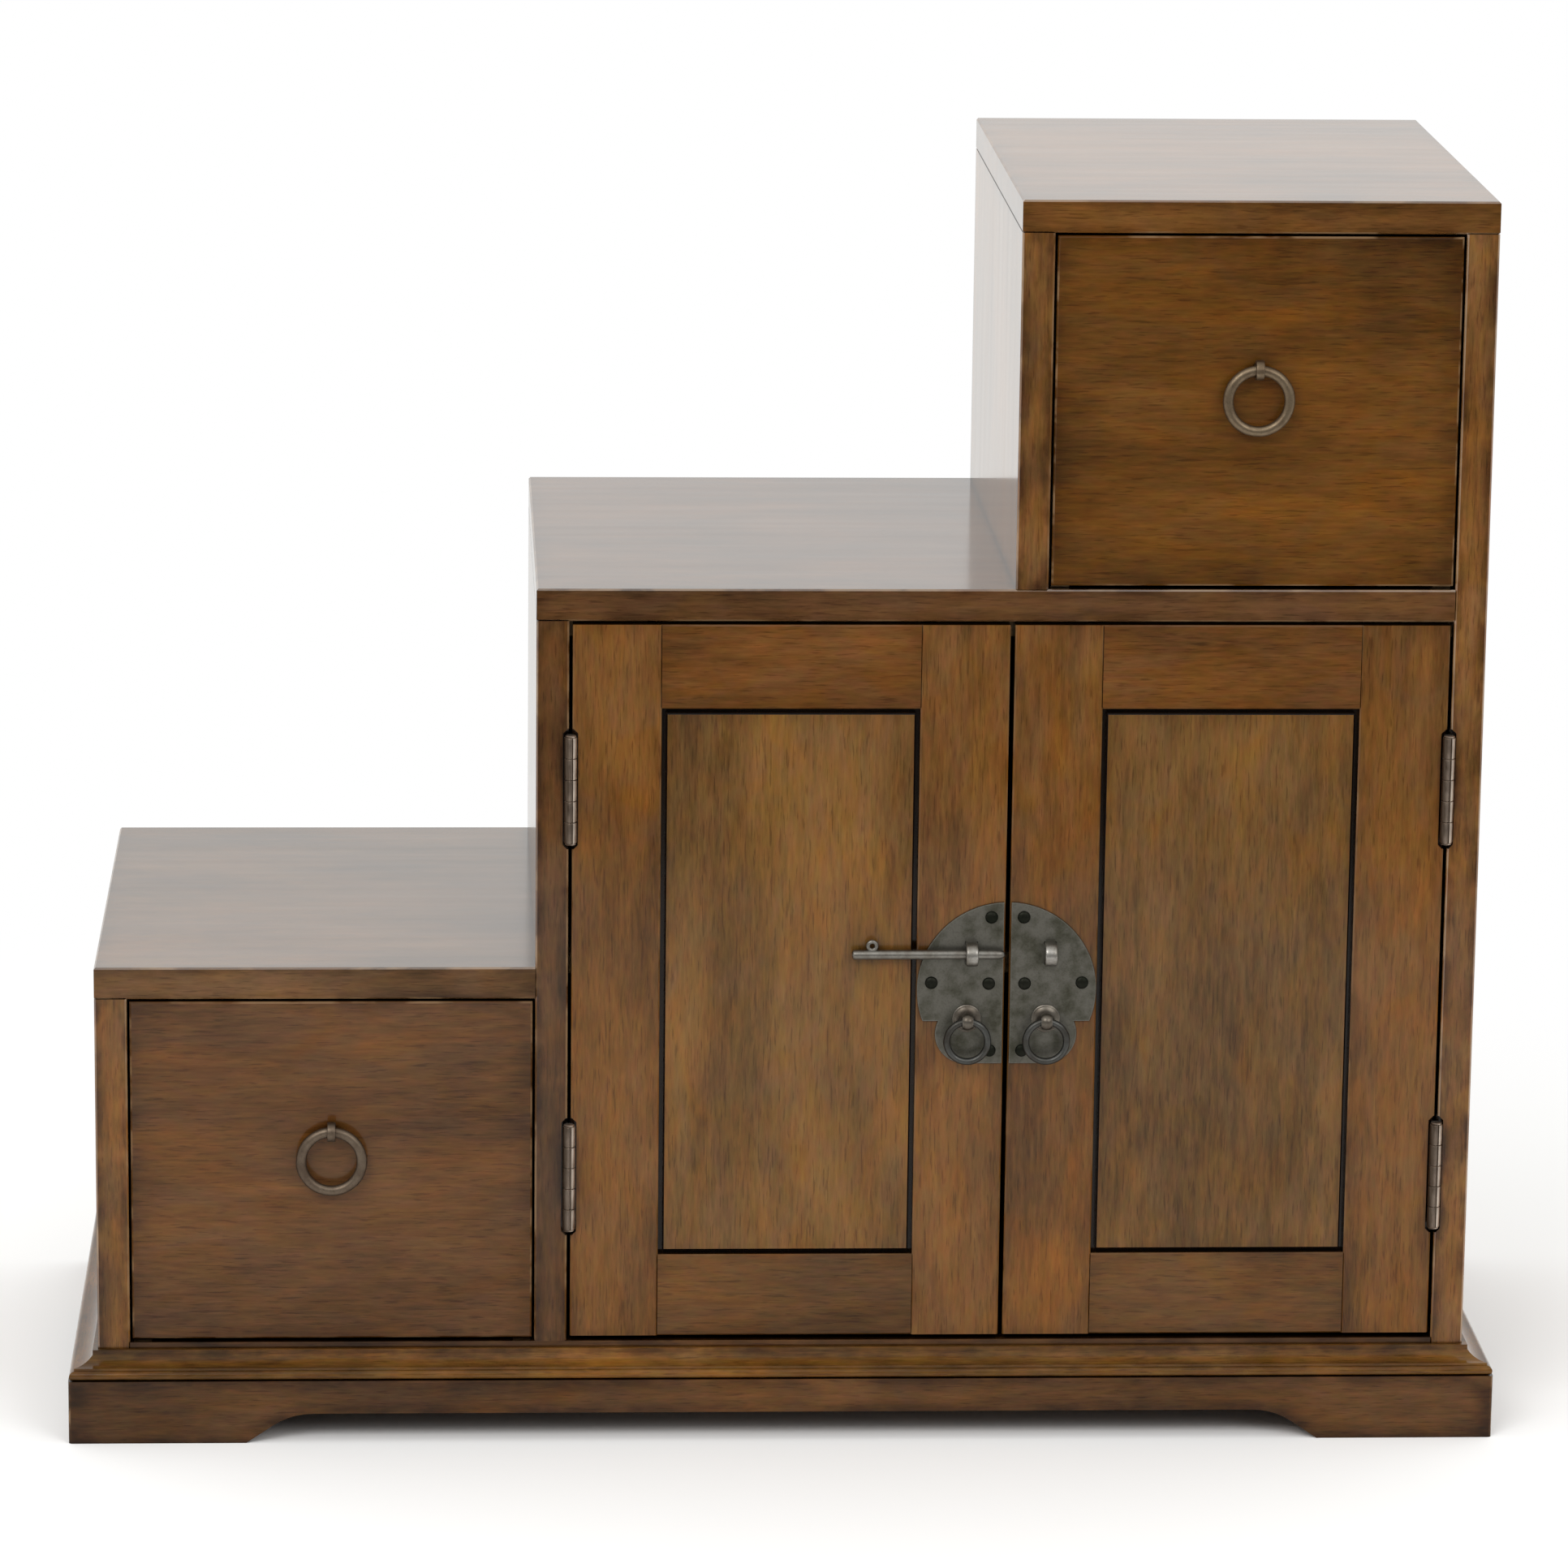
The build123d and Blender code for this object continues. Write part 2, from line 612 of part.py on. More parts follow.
def drawer(name, bay):
    """One closed drawer: lapped front, grooved sides, back, bottom, staple and ring."""
    front_x = (bay.left + front_gap, bay.right - front_gap)
    front_z = (bay.bottom + front_lift, bay.top - front_gap)
    front_rear = front_face + front_thickness
    outer_x = (front_x[0] + side_inset, front_x[1] - side_inset)
    inner_x = (outer_x[0] + drawer_side, outer_x[1] - drawer_side)
    side_z = (bay.bottom + runner_gap, front_z[1] - side_drop)
    rear = panel_face - stop_gap
    back_y = (rear - back_inset - drawer_side, rear - back_inset)
    bottom_z = span(side_z[0] + bottom_lift, bottom_thickness)
    bottom_x = (inner_x[0] - groove_depth, inner_x[1] + groove_depth)
    middle = (bay.left + bay.right) / 2
    pivot_y = front_face - staple_stand
    pivot_z = (front_z[0] + front_z[1]) / 2 + ring_lift
    eye_radius = ring_wire / 2 + ring_play
    eye_outer = eye_radius + staple_bar

    with BuildPart() as front:
        block(front_x, (front_face, front_rear), front_z)
        chamfer(front.faces().sort_by(Axis.Y)[0].edges(), length=arris)
        for end, inner in zip(front_x, inner_x):
            block(tuple(sorted((end, inner))), (front_face + front_lip, front_rear), front_z,
                  Mode.SUBTRACT)
        block(inner_x, (front_rear - groove_depth, front_rear), bottom_z, Mode.SUBTRACT)
        with BuildSketch(front_plane()):
            with Locations((middle, pivot_z)):
                Rectangle(staple_width + 2 * screw_fit, 2 * (staple_bar + screw_fit))
        extrude(amount=-front_thickness, mode=Mode.SUBTRACT)
    save(front, f"{name}_front")

    for label, outer, inner in (("left", outer_x[0], inner_x[0]), ("right", outer_x[1], inner_x[1])):
        away = inner - outer
        with BuildPart() as side:
            block(tuple(sorted((outer, inner))), (front_face + front_lip, rear), side_z)
            block(span(inner, -away * groove_depth / drawer_side), (front_face + front_lip, rear),
                  bottom_z, Mode.SUBTRACT)
            block(span(inner, -away * dado_depth / drawer_side), back_y,
                  (bottom_z[1], side_z[1]), Mode.SUBTRACT)
        save(side, f"{name}_side_{label}")

    with BuildPart() as back:
        block((inner_x[0] - dado_depth, inner_x[1] + dado_depth), back_y,
              (bottom_z[1], side_z[1] - back_drop))
    save(back, f"{name}_back")

    with BuildPart() as bottom:
        block(inner_x, (front_rear - groove_depth, back_y[1]), bottom_z)
        block(bottom_x, (front_rear, back_y[1]), bottom_z)
    save(bottom, f"{name}_bottom")

    with BuildPart() as staple:
        with BuildSketch(Plane.YZ.offset(middle - staple_width / 2)):
            with Locations((pivot_y, pivot_z)):
                RegularPolygon(eye_outer, staple_sides)
            with Locations(((pivot_y + front_rear) / 2, pivot_z)):
                Rectangle(front_rear - pivot_y, 2 * staple_bar)
            with Locations((front_rear + staple_bar / 2, pivot_z)):
                Rectangle(staple_bar, 2 * (staple_bar + clinch_length))
            with Locations((pivot_y, pivot_z)):
                RegularPolygon(eye_radius, staple_sides, major_radius=False, mode=Mode.SUBTRACT)
        extrude(amount=staple_width)
    save(staple, f"{name}_ring_staple")

    with BuildPart() as ring:
        round_ring(ring, ring_outer, ring_wire, middle, pivot_y, pivot_z)
    save(ring, f"{name}_ring")


drawer("low_drawer", low_bay)
drawer("high_drawer", high_bay)


# ---- Doors ------------------------------------------------------------------------
def door(name, hinge_x, away):
    """One closed door's frame and floating panel; away points from its hinges inwards."""
    hinge_edge = hinge_x + away * door_gap / 2
    lock_edge = gap_middle - away * centre_gap / 2
    hinge_inner = hinge_edge + away * stile_width
    lock_inner = lock_edge - away * stile_width
    opening_x = tuple(sorted((hinge_inner, lock_inner)))
    opening_z = (door_bottom + rail_height, door_top - rail_height)
    face_run = (front_face, door_rear)
    groove_run = span(front_face + tongue_recess - groove_play, panel_tongue + 2 * groove_play)
    tenon_run = span(front_face + tongue_recess, panel_tongue)
    rails = (("bottom", door_bottom, opening_z[0], 1), ("top", opening_z[1], door_top, -1))

    def rail_tenons(low, high, outward, extra, run, mode):
        """The two tenons of one rail, or with a little extra their mortises."""
        shoulders = (tenon_shoulder, frame_groove)[::outward]
        z = (low + shoulders[0], high - shoulders[1])
        for inner in opening_x:
            reach = (tenon_length + extra) * (-1 if inner == opening_x[0] else 1)
            block(span(inner, reach), run, z, mode)

    for label, edge, inner in (("hinge", hinge_edge, hinge_inner), ("lock", lock_edge, lock_inner)):
        with BuildPart() as stile:
            block(tuple(sorted((edge, inner))), face_run, (door_bottom, door_top))
            chamfer(stile.edges().filter_by(Axis.Z).group_by(Axis.Y)[0], length=arris_door)
            depth = frame_groove if inner < edge else -frame_groove
            block(span(inner, depth), groove_run, (door_bottom, door_top), Mode.SUBTRACT)
            for _, low, high, outward in rails:
                rail_tenons(low, high, outward, groove_play, groove_run, Mode.SUBTRACT)
            if label == "hinge":
                hinge_cuts(hinge_x, away)
            else:
                lock_holes(away, front_face, stem_length)
        save(stile, f"{name}_{label}_stile")

    for label, low, high, outward in rails:
        with BuildPart() as rail:
            block(opening_x, face_run, (low, high))
            chamfer(rail.edges().filter_by(Axis.X).group_by(Axis.Y)[0], length=arris_door)
            inner_level = high if outward > 0 else low
            block(opening_x, groove_run, span(inner_level, -outward * frame_groove), Mode.SUBTRACT)
            rail_tenons(low, high, outward, 0, tenon_run, Mode.ADD)
        save(rail, f"{name}_{label}_rail")

    with BuildPart() as panel:
        block((opening_x[0] + panel_gap, opening_x[1] - panel_gap),
              (front_face + field_recess, front_face + tongue_recess + panel_tongue),
              (opening_z[0] + panel_gap, opening_z[1] - panel_gap))
        chamfer(panel.faces().sort_by(Axis.Y)[0].edges(), length=arris_door)
        reach = frame_groove - panel_float
        block((opening_x[0] - reach, opening_x[1] + reach), tenon_run,
              (opening_z[0] - reach, opening_z[1] + reach))
    save(panel, f"{name}_panel")


# ---- Lock -------------------------------------------------------------------------
def lock_places(away):
    """Where one door's nails, eye and ring pull stand, as (x, z) pairs."""
    nails = [(gap_middle - away * x, plate_level + z) for x, z in nail_places]
    eye_offset = eye_left_offset if away > 0 else eye_right_offset
    eye = (gap_middle - away * eye_offset, pin_level)
    pull = (gap_middle - away * pull_offset, pull_level)
    return nails, eye, pull


def lock_holes(away, start, depth):
    """Holes through one half of the lock for its nails, the eye's legs and the pull's stem."""
    nails, eye, pull = lock_places(away)
    with BuildSketch(front_plane(start)) as holes:
        with Locations(*nails):
            RegularPolygon(nail_shank + screw_fit, screw_sides)
        with Locations(pull):
            RegularPolygon(stem_radius + screw_fit, post_sides)
        with Locations((eye[0], eye[1] - leg_offset), (eye[0], eye[1] + leg_offset)):
            Rectangle(eye_width + 2 * screw_fit, leg_thickness + 2 * screw_fit)
    extrude(holes.sketch, amount=-depth, mode=Mode.SUBTRACT)


def lock_plate(name, away):
    """Half of the round plate with its two lobes, cut short of the doors' gap."""
    half_middle = gap_middle - away * (centre_gap / 2 + plate_inset + plate_radius / 2)
    with BuildPart() as plate:
        with BuildSketch(front_plane(plate_front)):
            with Locations((gap_middle, plate_level)):
                Circle(plate_radius)
            with Locations((gap_middle, plate_level + (plate_radius - shoulder_drop) / 2)):
                Rectangle(2 * plate_radius, plate_radius + shoulder_drop, mode=Mode.INTERSECT)
            with Locations((gap_middle, plate_level - lobe_drop)):
                SlotCenterToCenter(2 * lobe_offset, 2 * lobe_radius)
            with Locations((half_middle, plate_level)):
                Rectangle(plate_radius, 2 * plate_radius, mode=Mode.INTERSECT)
        extrude(amount=-plate_thickness)
        lock_holes(away, plate_front, plate_thickness)
    save(plate, f"{name}_lock_plate")


def lock_nails(part, away):
    """The nails of one half, with bevelled heads that stand on the plate."""
    nails = lock_places(away)[0]
    prisms(front_plane(plate_front), nails, (0, nail_height), nail_radius, nail_sides)
    chamfer(part.faces().group_by(Axis.Y)[0].edges(), length=nail_bevel)
    prisms(front_plane(plate_front), nails, (-nail_length, 0), nail_shank, screw_sides)


def lock_eye(name, away):
    """The staple that the pin slides through, with two legs that go into the stile."""
    _, (x, level), _ = lock_places(away)
    eye_outer = pin_radius + eye_play + eye_bar
    leg_middle = plate_front + leg_length / 2
    with BuildPart() as eye:
        with BuildSketch(Plane.YZ.offset(x - eye_width / 2)):
            for radius, mode in ((eye_outer, Mode.ADD), (pin_radius + eye_play, Mode.SUBTRACT)):
                with Locations((pin_y, level)):
                    RegularPolygon(radius, eye_sides, major_radius=False, mode=mode)
                with Locations(((pin_y + plate_front) / 2, level)):
                    Rectangle(plate_front - pin_y, 2 * radius, mode=mode)
            with Locations((leg_middle, level - leg_offset), (leg_middle, level + leg_offset)):
                Rectangle(leg_length, leg_thickness)
            with Locations((leg_middle, level)):
                Rectangle(leg_length, 2 * (leg_offset - leg_thickness / 2), mode=Mode.SUBTRACT)
        extrude(amount=eye_width)
    save(eye, f"{name}_lock_eye")


def pull_post(name, away):
    """A turned post: stem, rosette, neck and a flattened ball with the ring's cross hole."""
    x, level = lock_places(away)[2]
    plane = front_plane(plate_front)
    place = ((x, level),)
    ball_run = (ball_stand - ball_reach, ball_stand + ball_reach)
    with BuildPart() as post:
        prisms(plane, place, (0, rosette_height), rosette_radius, post_sides)
        chamfer(post.faces().sort_by(Axis.Y)[0].edges(), length=rosette_bevel)
        prisms(plane, place, ball_run, ball_radius, post_sides)
        for height in ball_run:
            chamfer(edges_at(post, Axis.Y, plate_front - height), length=ball_bevel)
        prisms(plane, place, (plate_front - front_face - stem_length + screw_fit, 0),
               stem_radius, post_sides)
        prisms(plane, place, (rosette_height, ball_run[0]), neck_radius, post_sides)
        for side in (-1, 1):
            block(span(x + side * ball_flat, side * ball_radius),
                  (pull_y - ball_radius, plate_front - ball_run[0]),
                  (level - ball_radius, level + ball_radius), Mode.SUBTRACT)
        with BuildSketch(Plane.YZ.offset(x - ball_radius)):
            with Locations((pull_y, level)):
                RegularPolygon(pull_hole, pull_hole_sides)
        extrude(amount=2 * ball_radius, mode=Mode.SUBTRACT)
    save(post, f"{name}_pull_post")


for name, hinge_x, away in (("left_door", hinge_left, 1), ("right_door", hinge_right, -1)):
    door(name, hinge_x, away)

    with BuildPart() as door_leaves:
        hinge_leaves(door_leaves, hinge_x, away, door_knuckles)
    save(door_leaves, f"{name}_hinge_leaves")

    with BuildPart() as door_fasteners:
        leaf_screws(door_fasteners, hinge_x, away)
        lock_nails(door_fasteners, away)
    save(door_fasteners, f"{name}_screws_and_nails")

    lock_plate(name, away)
    lock_eye(name, away)
    pull_post(name, away)

    with BuildPart() as pull:
        pull_x, level = lock_places(away)[2]
        round_ring(pull, pull_outer, pull_wire, pull_x, pull_y, level)
    save(pull, f"{name}_pull_ring")

with BuildPart() as case_leaves:
    hinge_leaves(case_leaves, hinge_left, -1, case_knuckles)
    hinge_leaves(case_leaves, hinge_right, 1, case_knuckles)
save(case_leaves, "case_hinge_leaves")

with BuildPart() as case_screws:
    leaf_screws(case_screws, hinge_left, -1)
    leaf_screws(case_screws, hinge_right, 1)
save(case_screws, "case_hinge_screws")

with BuildPart() as pins:
    hinge_pins(hinge_left, hinge_pin_radius, Mode.ADD)
    hinge_pins(hinge_right, hinge_pin_radius, Mode.ADD)
save(pins, "hinge_pins")

with BuildPart() as lock_pin:
    curl_x = (gap_middle - eye_left_offset - eye_width / 2 - curl_spare - curl_radius
              - pin_travel)
    prisms(side_plane(pin_right - pin_length, 1), ((pin_y, pin_level),), (0, pin_length),
           pin_radius, pin_sides)
    for end in (0, -1):
        chamfer(lock_pin.faces().sort_by(Axis.X)[end].edges(), length=pin_tip)
    with BuildSketch(front_plane(pin_y + curl_thickness / 2)):
        with Locations((curl_x, pin_level + curl_rise)):
            RegularPolygon(curl_radius, pin_sides)
            RegularPolygon(curl_hole, pin_sides, mode=Mode.SUBTRACT)
    extrude(amount=curl_thickness)
save(lock_pin, "lock_pin")
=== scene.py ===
"""Step chest (kaidan tansu): finishes, metalwork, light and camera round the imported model."""

import math
import random

import bmesh
import bpy
from mathutils import Matrix, Vector


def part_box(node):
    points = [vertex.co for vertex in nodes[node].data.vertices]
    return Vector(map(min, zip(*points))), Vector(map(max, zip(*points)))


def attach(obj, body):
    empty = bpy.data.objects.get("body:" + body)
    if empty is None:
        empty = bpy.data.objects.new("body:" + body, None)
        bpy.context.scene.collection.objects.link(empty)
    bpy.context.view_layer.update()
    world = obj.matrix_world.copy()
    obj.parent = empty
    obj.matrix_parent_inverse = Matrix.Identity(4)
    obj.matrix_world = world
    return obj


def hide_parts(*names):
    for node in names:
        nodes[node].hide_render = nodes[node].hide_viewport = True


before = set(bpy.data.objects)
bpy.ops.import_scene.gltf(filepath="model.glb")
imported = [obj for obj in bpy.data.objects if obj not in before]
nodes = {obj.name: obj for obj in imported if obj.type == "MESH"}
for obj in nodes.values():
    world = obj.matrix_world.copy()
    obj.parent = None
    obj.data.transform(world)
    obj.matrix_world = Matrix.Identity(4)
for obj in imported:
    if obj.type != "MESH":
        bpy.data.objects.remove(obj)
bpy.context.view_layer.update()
scene = bpy.context.scene

MM = 0.001
TURN = 2 * math.pi


# ---- Shader helpers ---------------------------------------------------------------
class Shader:
    """A node tree with short ways to add and join nodes."""

    def __init__(self, tree):
        tree.nodes.clear()
        self.tree = tree

    def add(self, kind, inputs=None, **settings):
        node = self.tree.nodes.new(kind)
        for key, value in settings.items():
            setattr(node, key, value)
        for key, value in (inputs or {}).items():
            self.feed(node.inputs[key], value)
        return node

    def feed(self, socket, value):
        if isinstance(value, bpy.types.NodeSocket):
            self.tree.links.new(value, socket)
        elif isinstance(value, bpy.types.Node):
            self.tree.links.new(value.outputs[0], socket)
        else:
            socket.default_value = value

    def math(self, operation, a, b=0.0, clamp=False):
        return self.add("ShaderNodeMath", {0: a, 1: b}, operation=operation, use_clamp=clamp)

    def vector_math(self, operation, *values):
        return self.add("ShaderNodeVectorMath", dict(enumerate(values)), operation=operation)

    def noise(self, vector, scale, detail=3.0, roughness=0.55, distortion=0.0):
        return self.add("ShaderNodeTexNoise", {
            "Vector": vector, "Scale": scale, "Detail": detail, "Roughness": roughness,
            "Distortion": distortion})

    def ramp(self, value, *stops):
        """A grey ramp from (position, level) stops."""
        node = self.add("ShaderNodeValToRGB", {"Fac": value})
        elements = node.color_ramp.elements
        while len(elements) < len(stops):
            elements.new(0.5)
        for element, (position, level) in zip(elements, stops):
            element.position = position
            element.color = (level, level, level, 1)
        return node

    def scaled(self, value, low, high):
        """A 0 to 1 value spread between two others."""
        return self.add("ShaderNodeMapRange", {"Value": value, "To Min": low, "To Max": high})

    def bump(self, height, strength, distance):
        return self.add("ShaderNodeBump", {"Strength": strength, "Distance": distance,
                                           "Height": height})

    def mix(self, fac, a, b, blend="MIX"):
        """A colour mix. a and b are sockets, nodes or linear colours."""
        node = self.add("ShaderNodeMix", data_type="RGBA", blend_type=blend)
        for socket, value in zip((node.inputs["Factor"], node.inputs[6], node.inputs[7]),
                                 (fac, a, b)):
            colour = isinstance(value, tuple) and len(value) == 3
            self.feed(socket, (*value, 1) if colour else value)
        return node.outputs[2]

    def stain(self, fac, colour, tint):
        """The colour multiplied by a tint where fac is 1."""
        return self.mix(fac, colour, self.mix(1.0, colour, tint, "MULTIPLY"))

    def edge_turn(self, radius, samples):
        """How little the surface turns within a radius: 1 on flats, less near edges."""
        geometry = self.add("ShaderNodeNewGeometry")
        soft = self.add("ShaderNodeBevel", {"Radius": radius}, samples=samples)
        turn = self.vector_math("DOT_PRODUCT", soft, geometry.outputs["Normal"])
        return turn.outputs["Value"]

    def finish(self, **inputs):
        """Joins one Principled shader to the output. Underscores stand for spaces."""
        shader = self.add("ShaderNodeBsdfPrincipled",
                          {key.replace("_", " "): value for key, value in inputs.items()})
        self.add("ShaderNodeOutputMaterial", {"Surface": shader})
        return shader


def srgb(code):
    """A linear colour from a hex code."""
    channels = [int(code[i:i + 2], 16) / 255 for i in (0, 2, 4)]
    return tuple(c / 12.92 if c <= 0.04045 else ((c + 0.055) / 1.055) ** 2.4 for c in channels)


def new_material(name):
    material = bpy.data.materials.new(name)
    material.use_nodes = True
    return material, Shader(material.node_tree)


# ---- Wood -------------------------------------------------------------------------
# Noise layers: cycles per metre across and along the grain, detail, roughness, distortion.
CLOUD = (13, 5, 2, 0.5, 0.6)
FIGURE = (45, 11, 3, 0.6, 0.8)
STREAKS = (150, 26, 4, 0.62, 0.4)
FIBRES = (520, 60, 3, 0.6, 0.0)
HUES = (42, 20, 3, 0.6, 1.0)
FLECKS = (260, 85, 2, 0.5, 0.0)
GLOW = (30, 12, 2, 0.5, 0.6)
STAINS = (11, 8, 4, 0.6, 0.6)
PORES = (900, 75, 2, 0.5, 0.0)
# Patches of the darker edges and of the light arrises, both partly painted light.
EDGE_PATCHES = (55, 30, 3, 0.6, 0.0)
RIPPLE = (20, 6, 2, 0.55, 0.0)
POLISH = (70, 3, 3, 0.6, 0.0)
BARE_FIGURE = (22, 1.5, 3, 0.6, 0.8)
BARE_STREAKS = (150, 5, 4, 0.6, 0.3)
BARE_FIBRES = (700, 20, 2, 0.55, 0.0)
GRIME = (8, 5, 4, 0.55, 0.0)

SWINGS = ((CLOUD, 1.5), (FIGURE, 0.75), (STREAKS, 0.7), (FIBRES, 0.95))
HUE_TINTS = ((0.96, 0.985, 1.22), (1.05, 0.995, 0.8))
FLECK_TINTS = ((0.965, 1.035, 0.98), (1.035, 0.965, 1.02))
GLOW_TINT = (1.15, 1.01, 0.72)
STAIN_TINT = (0.52, 0.54, 0.62)
PORE_TINT = (0.45, 0.4, 0.4)
# Painted shade: the tint laid on the wood in recesses, gaps and corners.
RECESS_SHADE_TINT = (0.1, 0.09, 0.09)
# Darker edges: partly a finish gone dark with age, partly painted shade that widens the gap
# lines.
EDGE_DARK_AND_SHADE_TINT = (0.13, 0.085, 0.07)
# Light arrises: partly wear, partly a painted highlight where the chamfers would catch the
# light.
WORN_ARRIS_HIGHLIGHT = (0.3, 0.19, 0.1)
# Painted shade: near black, laid on the panels' arrises so the gaps round them read wider and
# darker.
GAP_SHADE_BLACK = (0.003, 0.002, 0.002)
BARE_PORE_TINT = (0.7, 0.66, 0.6)
GRIME_TINT = (0.75, 0.7, 0.66)

# How far the painted recess shade looks for nearby surfaces, and with how many rays.
RECESS_SHADE_REACH, RECESS_SHADE_SAMPLES = 8 * MM, 6
# How far the darker edges, partly painted shade, reach in from an edge, and with how many rays.
EDGE_SHADE_REACH, EDGE_SHADE_SAMPLES = 22 * MM, 8
GRAIN_SHIFT = 23.0          # how far apart, in metres, two boards' grain may be taken from
PORE_SHARE = 0.55
LACQUER_ROUGHNESS = 0.13
FACES_FRONT = 0.85          # a face looks forwards where its normal's Y is more than this


def grain_space(sh, place, axis):
    """Coordinates turned so that the grain runs along Z."""
    if axis == "Z":
        return place
    x, y, z = sh.add("ShaderNodeSeparateXYZ", {0: place}).outputs
    order = (y, z, x) if axis == "X" else (z, x, y)
    return sh.add("ShaderNodeCombineXYZ", dict(enumerate(order))).outputs[0]


def side_or_front(sh):
    """1 on faces that look more to the side than to the front."""
    geometry = sh.add("ShaderNodeNewGeometry")
    normal = sh.add("ShaderNodeSeparateXYZ", {0: geometry.outputs["True Normal"]})
    sideways = sh.math("ABSOLUTE", normal.outputs[0])
    forwards = sh.math("ABSOLUTE", normal.outputs[1])
    return sh.math("GREATER_THAN", sideways, forwards)


def turned_grain(sh, place, axis):
    """The grain space for one axis, or for a frame whose grain turns at its corners (XY)."""
    if axis != "XY":
        return grain_space(sh, place, axis)
    chooser = sh.add("ShaderNodeMix", {"Factor": side_or_front(sh)}, data_type="VECTOR")
    sh.feed(chooser.inputs[4], grain_space(sh, place, "X"))
    sh.feed(chooser.inputs[5], grain_space(sh, place, "Y"))
    return chooser.outputs[1]


def layer(sh, space, spec):
    """One noise layer of a wood, stretched along its grain."""
    across, along, *rest = spec
    mapping = sh.add("ShaderNodeMapping", {"Vector": space, "Scale": (across, across, along)},
                     vector_type="POINT")
    return sh.noise(mapping.outputs[0], 1.0, *rest)


def wood(name, axis, base, blotch=0.3, hue=1.0, gloss=1.28, front_coat=1.0, burn=0.75, rub=0.6,
         inked=False):
    """Stained and lacquered hardwood round one base colour, with its grain along one axis.

    blotch deepens the dark patches, hue spreads the colours, gloss is the lacquer's index of
    refraction and front_coat its weight on faces that look forwards. burn darkens the wood near
    its edges in patches, partly a finish gone dark with age and partly painted shade that
    widens the dark gap lines. rub lightens the arrises, partly wear and partly a painted
    highlight.
    inked: the arrises are painted black instead, as painted shade in the gaps. Ambient
    occlusion paints shade into the recesses as well.
    """
    material, sh = new_material(name)
    coordinates = sh.add("ShaderNodeTexCoord").outputs
    place = coordinates["Object"]
    shift = sh.math("MULTIPLY", sh.add("ShaderNodeObjectInfo").outputs["Random"],
                    GRAIN_SHIFT)
    own = sh.vector_math("ADD", place, shift).outputs[0]
    space = turned_grain(sh, own, axis)
    shared = turned_grain(sh, place, axis)

    def tinted(colour, noise, tints):
        low, high = (tuple(1 + hue * (v - 1) for v in tint) for tint in tints)
        return sh.mix(1.0, colour, sh.mix(sh.ramp(noise, (0.37, 0.0), (0.63, 1.0)), low, high),
                      "MULTIPLY")

    noises = [layer(sh, space, spec) for spec, _ in SWINGS]
    tone = 1.0
    for noise, (_, amount) in zip(noises, SWINGS):
        swing = sh.math("MULTIPLY", sh.math("SUBTRACT", noise, 0.5), amount)
        tone = sh.math("ADD", tone, swing)
    _, _, streaks, fibres = noises
    colour = sh.mix(1.0, base, sh.add("ShaderNodeCombineXYZ", {0: tone, 1: tone, 2: tone}),
                    "MULTIPLY")
    colour = tinted(colour, layer(sh, shared, HUES), HUE_TINTS)
    colour = tinted(colour, layer(sh, space, FLECKS), FLECK_TINTS)
    glow = sh.ramp(layer(sh, shared, GLOW), (0.52, 0.0), (0.7, 0.8 * hue))
    colour = sh.stain(glow, colour, GLOW_TINT)
    patches = sh.ramp(layer(sh, shared, STAINS), (0.46, 0.0), (0.68, 1.0))
    colour = sh.stain(sh.math("MULTIPLY", patches, blotch), colour, STAIN_TINT)
    pores = sh.ramp(layer(sh, space, PORES), (0.58, 0.0), (0.68, 1.0))
    colour = sh.stain(sh.math("MULTIPLY", pores, PORE_SHARE), colour, PORE_TINT)

    # Painted shade: ambient occlusion darkens the wood in gaps, grooves and corners, where
    # shade falls.
    recess_shade = sh.add("ShaderNodeAmbientOcclusion", {"Distance": RECESS_SHADE_REACH},
                    samples=RECESS_SHADE_SAMPLES).outputs["AO"]
    colour = sh.stain(sh.ramp(recess_shade, (0.35, 1.0), (0.7, 0.0)), colour, RECESS_SHADE_TINT)
    # Darker near every edge of a board, in patches: partly a finish gone dark with age, partly
    # painted shade that widens the dark gap lines.
    near_edge = sh.ramp(sh.edge_turn(EDGE_SHADE_REACH, EDGE_SHADE_SAMPLES),
                        (0.78, 1.0), (0.91, 0.45), (0.992, 0.0))
    edge_patchiness = layer(sh, shared, EDGE_PATCHES)
    depth = sh.math("MULTIPLY", sh.ramp(edge_patchiness, (0.36, 0.12), (0.6, 1.0)), burn)
    colour = sh.stain(sh.math("MULTIPLY", near_edge, depth), colour, EDGE_DARK_AND_SHADE_TINT)
    facing = sh.vector_math("ABSOLUTE", coordinates["Normal"])
    sideways, forwards, upwards = sh.add("ShaderNodeSeparateXYZ", {0: facing}).outputs
    flat = sh.math("MAXIMUM", sh.math("MAXIMUM", sideways, forwards), upwards)
    arris = sh.ramp(flat, (0.8, 1.0), (0.95, 0.0))
    # Painted shade: the arrises are painted black, widening the dark gap lines round the
    # panels.
    if inked:
        colour = sh.mix(arris, colour, GAP_SHADE_BLACK)
    else:
        # Lightens the chamfered arrises in patches: partly wear, partly a painted highlight.
        wear_and_highlight = sh.math("MULTIPLY", arris, sh.ramp(edge_patchiness, (0.42, 1.0), (0.54, 0.0)))
        colour = sh.mix(sh.math("MULTIPLY", wear_and_highlight, rub), colour, WORN_ARRIS_HIGHLIGHT)

